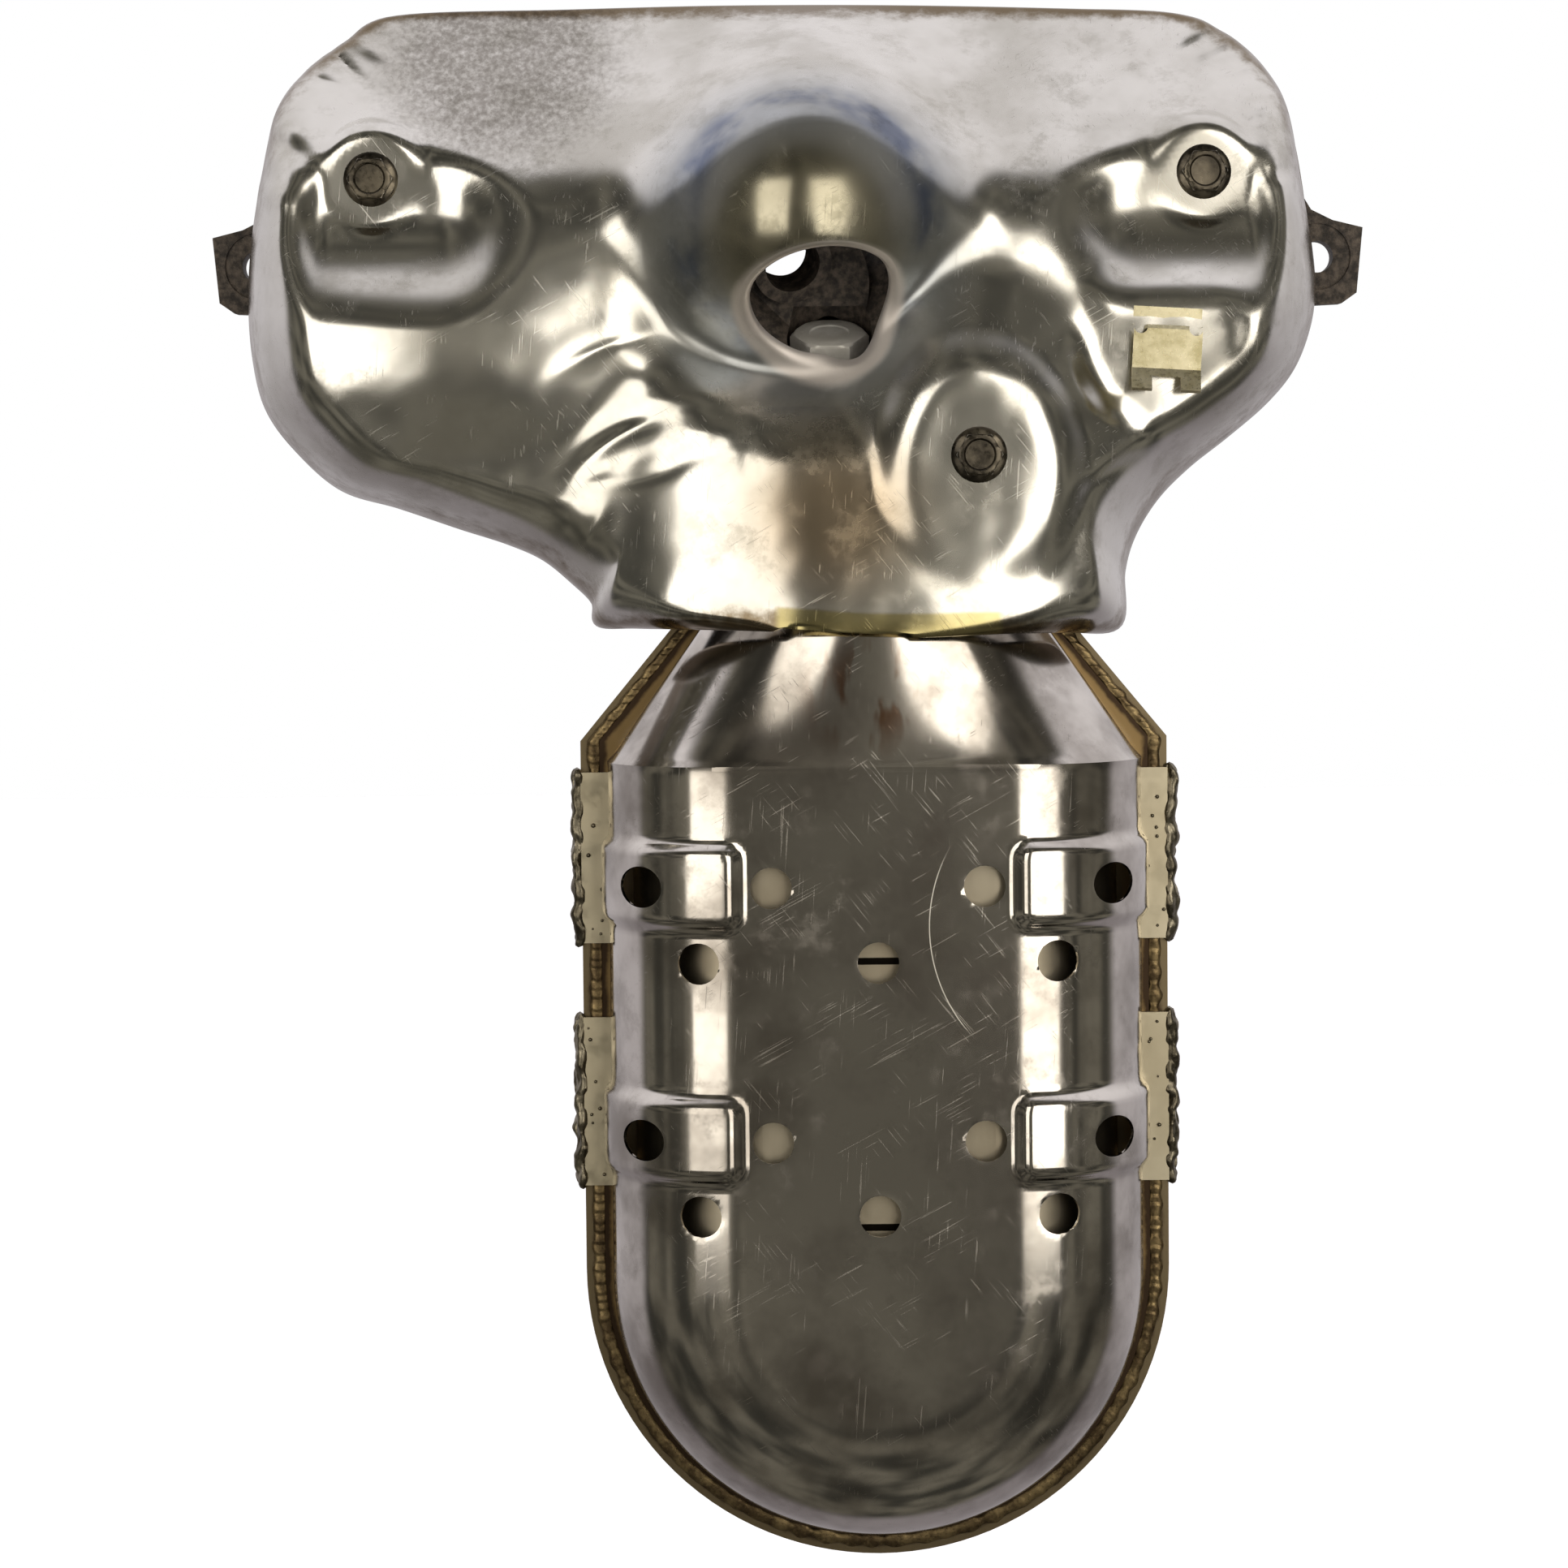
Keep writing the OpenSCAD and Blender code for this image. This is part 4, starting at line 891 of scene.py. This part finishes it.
def tub_rows(cell):
    """The grid of a tub, with cells of about cell mm: for each row the height of its place on
    the middle line and the way that its wall faces, down one side, round the end and up the
    other, and for each column its share of the section."""
    count = lambda length: max(int(length / cell), 2)
    top = np.linspace(COVER_TOP_Z, SHOULDER_Z, count(CONE_LEN), endpoint=False)
    body = np.linspace(SHOULDER_Z, ROUND_Z, count(BODY_LEN), endpoint=False)
    down = np.concatenate([top, [SHOULDER_Z + 0.35], body])
    arc = np.linspace(np.pi, 2 * np.pi, count(COVER[0] * 2.6))
    straight = np.ones_like(down)
    middle_z = np.concatenate([down, ROUND_Z * np.ones_like(arc), down[::-1]])[:, None]
    way = np.concatenate([
        np.stack([-straight, 0 * straight], -1), np.stack([np.cos(arc), np.sin(arc)], -1),
        np.stack([straight, 0 * straight], -1)])
    share = np.linspace(0, 1, count(SECTION_LEN))[None, :] * np.ones_like(middle_z)
    return middle_z, way, share


print("rows and columns at 2 mm:", *tub_rows(2)[2].shape)

# %% Points drawn out to a hole's edge
def drawn_out(dx, dz, r, where=True):
    """Which points lie in a hole of radius r, and the factor that takes each out to its edge:
    r over the distance from the hole's middle, and 1 for all other points."""
    away = np.hypot(dx, dz)
    inside = (away < r) & where
    return inside, np.where(inside, r / np.maximum(away, 1e-3), 1)


print("2 mm from a vent's middle the factor is", float(drawn_out(2.0, 0.0, VENT_R)[1]))

# %% A section carried round the tub
CROWN_R = 80                         # the cone's front is also crowned to this radius
PIPE_Z, PIPE_HOLE_R = -335.5, 32.5   # the rear cover's hole for the outlet pipe
CREASE_RISE = 0.22                   # a faint ridge where the cone meets the body


def tub_sheet(cell, side=1):
    """The cover's sheet: each row is the section at one place along the tub, turned the way
    that the wall faces there, with pads added and holes left out. side is 1 for the front
    cover and -1 for the rear one."""
    middle_z, way, share = tub_rows(cell)
    lift = np.clip((middle_z - SHOULDER_Z) / (COVER_TOP_Z - SHOULDER_Z), 0, 1)
    size = [tween(a, b, lift) for a, b in zip(COVER, COVER_TOP)]
    z = middle_z * np.ones_like(share)
    out = section(share, *size)[0]
    along = way[:, :1] * np.ones_like(share)
    pierced = np.zeros(share.shape, bool)
    straight_rows = (abs(along) == 1) & (z < SHOULDER_Z)
    for vx, vz in VENTS:
        dx, dz = along * out - vx, z - vz
        in_vent, pull = drawn_out(dx, dz, VENT_R, straight_rows)
        pierced |= in_vent
        z = np.where(in_vent, vz + dz * pull, z)
        out = np.where(in_vent, abs(vx + dx * pull), out)
    share = np.where(pierced, share_of(out, COVER[0], COVER[2]), share)
    out, height, side_part, front_part = section(share, *size)
    rise = pad_height(out, z) * (abs(along) == 1) - 0.03 * pierced
    rise += CREASE_RISE * bump(z, 0, SHOULDER_Z, 0, 1.1, 1) * (abs(along) == 1)
    out, height = out + rise * side_part, height + rise * front_part
    height -= lift * out ** 2 / (2 * CROWN_R) * front_part
    x = CX + way[:, :1] * out
    z = z + way[:, 1:] * out
    if side == -1:
        in_pipe, pull = drawn_out(x - CX, z - PIPE_Z, PIPE_HOLE_R)
        x, z = CX + (x - CX) * pull, PIPE_Z + (z - PIPE_Z) * pull
        pierced |= in_pipe
    points = np.stack([x, -SPLIT_D - side * height, z], -1)
    faces = grid_faces(*share.shape)
    inside = pierced.reshape(-1)[faces].all(1)
    points, faces = welded(points.reshape(-1, 3), faces[~inside])
    return points, faces if side == 1 else faces[:, ::-1]


print("the front cover's sheet has", len(tub_sheet(1.35)[1]), "faces")

# %% Both covers
COVER_T = 1
for name, side, cell in (("front_cover", 1, 1.35), ("rear_cover", -1, 1.9)):
    shell = thickened(*tub_sheet(cell, side), COVER_T)
    add_piece(name + "_drawn", *shell, BRIGHT_STAINLESS, "polished_sheet", [name])

# %% [markdown]
# ## The seam weld
# The converter's halves are joined by one weld along the step of their rims. A bead is a row
# of frozen puddles. A bump texture could draw them, but the outline would stay smooth. So
# the bead is a real surface: a half round carried round the rim, whose height saws up and
# down, with each puddle's front bent like a fish scale.

# %% Path round the rim
def rim_path(places):
    """The rim's outline at places 0 to 1 round it: a centre, a direction outwards and a
    width for each. The outline inset by g is centre + direction * (width - g)."""
    slant = math.hypot(RIM_W - RIM_TOP_W, RIM_TOP_Z - RIM_SHOULDER_Z)
    side, arc = ROUND_Z - RIM_SHOULDER_Z, np.pi * RIM_W
    ends = np.cumsum([0, slant, -side, arc, -side, slant, 2 * RIM_TOP_W])
    stops = np.array([RIM_TOP_Z, RIM_SHOULDER_Z, ROUND_Z, ROUND_Z, RIM_SHOULDER_Z, RIM_TOP_Z,
        RIM_TOP_Z])
    at = places * ends[-1]
    z = np.interp(at, ends, stops)
    turn = np.interp(at, ends[2:4], (np.pi, 2 * np.pi))
    left_to_right = np.interp(at, ends[[0, 4, 5, 6]], (-1, 1, 1, -1))
    round_end = (at > ends[2]) & (at < ends[3])
    x_way = np.where(round_end, np.cos(turn), np.where(at < ends[5], np.sign(at - ends[2]),
        left_to_right))
    z_way = np.where(round_end, np.sin(turn), 0)
    width = RIM_W - RIM_TAPER * np.maximum(z - RIM_SHOULDER_Z, 0)
    centre = np.stack([np.full_like(z, CX), z], -1)
    return centre, np.stack([x_way, z_way], -1), width, at


print("the weld is", round(float(rim_path(np.ones(1))[3][0])), "mm long")

# %% Rippled bead
BEAD_IN, BEAD_OUT, BEAD_H = 6.9, 2.2, 1.5  # its sides inset from the rim, and its height
RIPPLE, FLAT_RIPPLE, DEEP_RIPPLE = 3.3, 0.05, 0.24  # a puddle's length, and shares of height
BEAD_ROWS, BEAD_SIDES = 1700, 18
centre, way, width, at = rim_path(np.linspace(0, 1, BEAD_ROWS))
turn = np.linspace(0, 2 * np.pi, BEAD_SIDES, endpoint=False)
across = np.cos(turn)[None, :]
inset = (BEAD_IN + BEAD_OUT) / 2 - (BEAD_IN - BEAD_OUT) / 2 * across * (
    1 + 0.12 * waviness(at[:, None], 9, 11)[:, None])
plan = centre[:, None] + way[:, None] * (width[:, None] - inset)[..., None]
uneven = 0.12 * waviness(at[:, None], 12, 12)[:, None]
scale = (at[:, None] / RIPPLE + 0.32 * across ** 2 + uneven) % 1
above_end = ramp(-360, -325, centre[:, 1] + way[:, 1] * width)[:, None]
ripple = tween(FLAT_RIPPLE, DEEP_RIPPLE, above_end)
height = BEAD_H * np.maximum(np.sin(turn), 0)[None, :] ** 0.6 * (
    1 - ripple + ripple * scale ** 0.6)
height = np.where(np.sin(turn)[None, :] < -0.01, -0.25, height)
bead = np.stack([plan[..., 0], -SPLIT_D - height, plan[..., 1]], -1)
bead[-1] = bead[0]
bead_faces = grid_faces(BEAD_ROWS, BEAD_SIDES, closed=True)
add_piece("seam_weld_rippled", *welded(bead.reshape(-1, 3), bead_faces), WELD, "weld",
    ["seam_weld"])

# %% [markdown]
# ## Welds by hand on the tabs
# Short strips tie each cover to the rim, and a bead laid by hand runs along each strip, with
# drops of spatter beside it. Metaballs could melt such lumps together, but their size is
# hard to hold. A round bar whose radius swells and shrinks by seeded waves gives the same
# look at a known size, and small balls half sunk in the strip are the spatter.

# %% A lumpy bead and a drop of spatter
def ball(x, depth, z, r):
    """A small ball as a grid of turns and tilts, its poles closed by welding."""
    turn, tilt = np.meshgrid(
        np.linspace(0, 2 * np.pi, 12, endpoint=False), np.linspace(-np.pi / 2, np.pi / 2, 8))
    ring = r * np.cos(tilt)
    points = np.stack(
        [x + ring * np.cos(turn), -depth + ring * np.sin(turn), z + r * np.sin(tilt)], -1)
    return points.reshape(-1, 3), grid_faces(8, 12, closed=True)


def tab_bead(side, front, z0, length, seed):
    """A lumpy bead along a tab's outer edge: a round bar whose radius swells and shrinks, and
    closes at its ends. It lies flat on the split plane."""
    t = np.linspace(0, 1, int(length / 0.55))[:, None]
    turn = np.linspace(0, 2 * np.pi, 20, endpoint=False)[None, :]
    z = z0 - 1.5 + t * (length + 3)
    bar = np.stack(np.broadcast_arrays(z, 3 * np.cos(turn), 3 * np.sin(turn)), -1)
    r = 2.0 + 0.36 * waviness(bar, 7, seed) + 0.09 * waviness(bar, 3.2, seed + 1)
    r = r * (1 - (2 * t - 1) ** 14) ** 0.5
    wander = 0.3 * waviness(z, 14, seed + 2)[:, None]
    out = np.maximum(RIM_W + 0.9 + wander + r * np.cos(turn), RIM_W - 1.0)
    height = np.maximum(1.5 + r * 1.1 * np.sin(turn), 0.02)
    points = np.stack([CX + side * out, -SPLIT_D - front * height, z * np.ones_like(turn)], -1)
    faces = grid_faces(*points.shape[:2], closed=True)
    return points.reshape(-1, 3), faces if side * front > 0 else faces[:, ::-1]


def joined(parts):
    """Several point and face arrays as one pair."""
    starts = np.cumsum([0] + [len(points) for points, _ in parts[:-1]])
    return (np.concatenate([points for points, _ in parts]),
        np.concatenate([faces + start for (_, faces), start in zip(parts, starts)]))


print("a drop of spatter has", len(ball(0, 0, 0, 1)[1]), "faces")

# %% Beads and spatter on the tabs
TAB_Z = ((-220.5, 55), (-299, 54.5))  # foot and length of each tab
DROPS = 7                             # of spatter beside each bead
rng = np.random.default_rng(31)
for name, front in (("front_tab_welds", 1), ("rear_tab_welds", -1)):
    parts = []
    for z0, length in TAB_Z:
        for side in (-1, 1):
            parts.append(tab_bead(side, front, z0, length, int(rng.integers(1000))))
            for _ in range(DROPS):
                out, r = rng.uniform(86.5, 93), rng.uniform(0.35, 0.75)
                z = rng.uniform(z0 + 2, z0 + length - 2)
                parts.append(ball(CX + side * out, SPLIT_D + front * (3.1 + 0.6 * r), z, r))
    add_piece(name + "_lumpy", *welded(*joined(parts)), TAB_WELD, "weld", [name])

# %% [markdown]
# ## Shield bolts
# A flange bolt's head is a turned blank whose upper part a hexagon has cut down, which leaves
# curved shoulders at its corners. A six-sided cylinder with a Bevel has none. So each ring
# of the surface takes the smaller of the turned radius and the hexagon's, with the corner
# between them a little rounded.

# %% A turned piece with a hexagon
def hex_turned(profile, across_flats, seat, lean=90.0, steps=72):
    """A closed surface from rows of radius, height and 1 where the hexagon cuts. Its axis
    comes out of the seat, lean degrees round X from straight up."""
    rows = np.array(profile, float)[:, :, None]
    turn = np.linspace(0, 2 * np.pi, steps, endpoint=False)
    hexagon = across_flats / 2 / np.cos(turn % (np.pi / 3) - np.pi / 6)
    radius = np.where(rows[:, 2] > 0, -soft_max(-rows[:, 0], -hexagon, 0.5), rows[:, 0])
    points = np.stack([radius * np.cos(turn), radius * np.sin(turn),
        rows[:, 1] * np.ones_like(turn)], -1)
    spin = np.array(Matrix.Rotation(math.radians(lean), 3, "X"))
    points = points.reshape(-1, 3) @ spin.T + np.array(seat)
    return points, grid_faces(len(rows), steps, closed=True)


HEAD_FLATS, CORNER_ANGLE = 12.64, 28  # mm, and the turn in degrees past which edges stay crisp
print("the hexagon is", round(HEAD_FLATS / math.cos(math.pi / 6), 1), "mm over its corners")

# %% Three flange bolts
HEAD = [(0, -14, 0), (3, -14, 0), (3, -0.1, 0), (8.4, 0, 0), (8.8, 0.3, 0), (8.8, 1.1, 0),
    (8.5, 1.5, 0), (7.7, 1.9, 0), (7.6, 2.3, 1), (7.6, 6.2, 1), (7.2, 6.7, 1), (6.7, 7.0, 1),
    (6.0, 7.2, 0), (5.1, 7.2, 0), (4.8, 7.0, 0), (4.5, 6.5, 0), (0, 6.4, 0)]
bolts = [hex_turned(HEAD, HEAD_FLATS, (x, -depth, z))
    for x, z, depth in (SIDE_BOLT, (-SIDE_BOLT[0], *SIDE_BOLT[1:]), LOW_BOLT)]
add_piece("shield_bolts_turned", *welded(*joined(bolts)), BOLT_STEEL, "bolt_steel",
    ["shield_bolts"], sharp=CORNER_ANGLE)

# %% [markdown]
# ## Plug in the casting
# Through the dome's hole one sees a hexagon plug that closes a port of the casting. It is
# turned and milled like the bolts, so the same function makes it, from its own rows of
# radius and height, and leans it as the port leans.

# %% Port plug
PLUG = [(0, -14, 0), (8, -14, 0), (8, 1.5, 0), (11.3, 1.5, 0), (11.6, 1.8, 0), (11.6, 2.8, 0),
    (12.9, 3.1, 1), (12.9, 8.6, 1), (12.2, 9.2, 1), (11.3, 9.8, 1), (10.4, 10, 0), (6.5, 10, 0),
    (6, 9.6, 0), (0, 9.5, 0)]
PLUG_SEAT, PLUG_LEAN, PLUG_FLATS = (13, -62.3, -34.4), 24, 22
plug = hex_turned(PLUG, PLUG_FLATS, PLUG_SEAT, PLUG_LEAN)
add_piece("port_plug_turned", *welded(*plug), PLUG_STEEL, "plug_steel", ["port_plug"],
    sharp=CORNER_ANGLE)

# %% [markdown]
# ## Finishes of the CAD pieces that stay
# The rest is turned, cast or cut plate, and the CAD solids already have its form. They could
# be modelled again, but a second copy would show nothing new. So each just gets the finish
# of its real surface.

# %% Finish of every CAD node
FINISHES = {
    CASTING: ["manifold_casting"],
    BOLT_STEEL: ["shield_bolts", "joint_studs", "joint_nuts"],
    ZINC: ["connector_clip"],
    PLUG_STEEL: ["port_plug"],
    COPPER: ["plug_washer"],
    GASKET_STEEL: ["head_gasket", "joint_gasket"],
    FLANGE_STEEL: ["inlet_flange", "outlet_flange", "sensor_bung"],
    TINTED: ["front_half_shell", "rear_half_shell", "outlet_pipe"],
    WELD: ["seam_weld", "outlet_weld"],
    TAB_WELD: ["front_tab_welds", "rear_tab_welds"],
    CERAMIC: ["upper_brick", "lower_brick"],
    MAT: ["upper_mat", "lower_mat"],
    MESH: ["mat_seals"],
    BRIGHT_STAINLESS: ["front_cover", "rear_cover"],
    SATIN: ["front_tabs", "rear_tabs"],
    ALUMINISED: ["manifold_shield"],
}
for finish, names in FINISHES.items():
    for name in names:
        NODES[name].data.materials.clear()
        NODES[name].data.materials.append(finish)
print(sum(map(len, FINISHES.values())), "nodes have a finish")

# %% [markdown]
# ## Softened edges
# No real edge is quite sharp: plate has a small burr rounded off, and a casting has a wide
# round. In CAD the edges are sharp, and so they catch no light. A Bevel modifier adds the
# bright line of each edge and leaves the flat faces where they were.

# %% Softened edges
SOFTENED = {"connector_clip": 0.35, "front_tabs": 0.3, "rear_tabs": 0.3, "joint_nuts": 0.4,
    "inlet_flange": 0.5, "outlet_flange": 0.5, "sensor_bung": 0.4, "manifold_casting": 0.8}
BEVEL_FROM = 40  # degrees: only edges that turn by more than this are rounded
for name, width in SOFTENED.items():
    bevel = NODES[name].modifiers.new("softened_edges", "BEVEL")
    bevel.width = width * MM
    bevel.segments = 2
    bevel.limit_method = "ANGLE"
    bevel.angle_limit = math.radians(BEVEL_FROM)
print(len(SOFTENED), "pieces have softened edges")

# %% [markdown]
# ## Studio
# Bright metal shows the room more than itself. The room here is dark in front, as behind a
# photographer, and pale behind the object. Real walls could be built, but a world shader
# gives the same reflections from far away and needs no space. The camera sees it as white.

# %% Room
scene = bpy.context.scene
scene.view_settings.view_transform = "Standard"
world = bpy.data.worlds.new("studio")
scene.world = world
world.use_nodes = True
tree = world.node_tree
tree.nodes.clear()
direction = add(tree, "TexCoord", out="Generated")
toward = add(tree, "SeparateXYZ", direction).node.outputs
tilted = add(tree, "Math", toward["Z"], 0.25, toward["Y"], **TIMES_PLUS)
behind = add(tree, "MapRange", tilted, 0.02, 0.22, **SMOOTH)
patches = add(tree, "TexNoise", direction, 4.0, 2.0)
patches = add(tree, "MapRange", patches, 0.35, 0.65, **SMOOTH)
dark = add(tree, "Mix", patches, "#393833", "#736f64", **COLOURS)
high = add(tree, "MapRange", toward["Z"], -0.8, 0.8, **SMOOTH)
backdrop = add(tree, "Mix", high, "#8f898c", "#f5f1f4", **COLOURS)
room = add(tree, "Mix", behind, dark, backdrop, **COLOURS)
seen = add(tree, "Mix", add(tree, "LightPath"), room, "#ffffff", **COLOURS)
add(tree, "OutputWorld", add(tree, "Background", seen, 1.0))
print("the room has", len(tree.nodes), "nodes")

# %% [markdown]
# ## Soft boxes
# Two large soft lights stand beside the camera and make the long white shapes on the bends.
# Lamps would give small hard spots. Area lights of a soft box's size give shapes with even
# faces, and a small part of each turn of the sheet mirrors them.

# %% Soft boxes
LIGHT_FAR = 1.75                    # m from the object
LIGHT_AIM = Vector((0, 0, -0.17))   # the object's middle


def soft_box(name, around, up, wide, high, power, colour):
    """A rectangular area light that faces the object from around degrees off the camera."""
    data = bpy.data.lights.new(name, "AREA")
    data.shape = "RECTANGLE"
    data.size, data.size_y, data.energy = wide, high, power
    data.color = linear(colour)[:3]
    light = bpy.data.objects.new(name, data)
    a, e = math.radians(around), math.radians(up)
    away = Vector((math.sin(a) * math.cos(e), -math.cos(a) * math.cos(e), math.sin(e)))
    light.location = LIGHT_AIM + LIGHT_FAR * away
    light.rotation_mode = "QUATERNION"
    light.rotation_quaternion = away.to_track_quat("Z", "Y")
    light.visible_camera = False
    bpy.context.scene.collection.objects.link(light)


soft_box("soft_box_left", -28.5, 10.5, 0.92, 1.48, 8, "#fff8ec")
soft_box("soft_box_right", 26, 10.5, 1.0, 1.48, 12.5, "#fff8ec")
print(len(bpy.data.lights), "soft boxes")

# %% [markdown]
# ## Floor
# The photo's ground is plain and pale with no shadow. A white world alone would do for the
# picture, but the lower bends also mirror the ground. So one large pale face lies well
# below and glows a little, and it stays out of sharp reflections, which would show its edge.

# %% Floor
FLOOR_Z, FLOOR_HALF = -0.62, 7
floor_mesh = bpy.data.meshes.new("floor")
corners = [(x * FLOOR_HALF, y * FLOOR_HALF, FLOOR_Z)
    for x, y in ((-1, -1), (1, -1), (1, 1), (-1, 1))]
floor_mesh.from_pydata(corners, [], [(0, 1, 2, 3)])
paint, _, _, shader = new_material("pale_floor_paint")
shader.inputs["Base Color"].default_value = linear("#f4f4f4")
shader.inputs["Roughness"].default_value = 0.9
shader.inputs["Emission Color"].default_value = linear("#ffffff")
shader.inputs["Emission Strength"].default_value = 0.55
floor_mesh.materials.append(paint)
floor = bpy.data.objects.new("floor", floor_mesh)
scene.collection.objects.link(floor)
floor.visible_glossy = False
print("the floor is", 2 * FLOOR_HALF, "m wide")

# %% [markdown]
# ## Camera
# The photograph was taken from straight ahead, a little above the middle, and rolled by half
# a degree. The view could be matched by eye. Here the lens is worked out from the distance
# and from how many millimetres the picture spans at the object, so both stay in step.

# %% Camera
EYE_PLACE = Vector((-0.0029, -1.6, -0.0756))
AIM = Vector((-0.0029, 0, -0.174))
ROLL = math.radians(-0.55)
SENSOR, SPAN = 36, 525.5  # mm: the sensor's width, and what the picture spans at the object
camera_data = bpy.data.cameras.new("camera")
camera_data.sensor_width = SENSOR
camera_data.lens = SENSOR * -EYE_PLACE.y / MM / SPAN
camera = bpy.data.objects.new("camera", camera_data)
camera.location = EYE_PLACE
camera.rotation_mode = "QUATERNION"
straight = (AIM - EYE_PLACE).to_track_quat("-Z", "Y")
camera.rotation_quaternion = straight @ Matrix.Rotation(ROLL, 3, "Z").to_quaternion()
scene.collection.objects.link(camera)
scene.camera = camera
print("a lens of", round(camera_data.lens, 1), "mm")
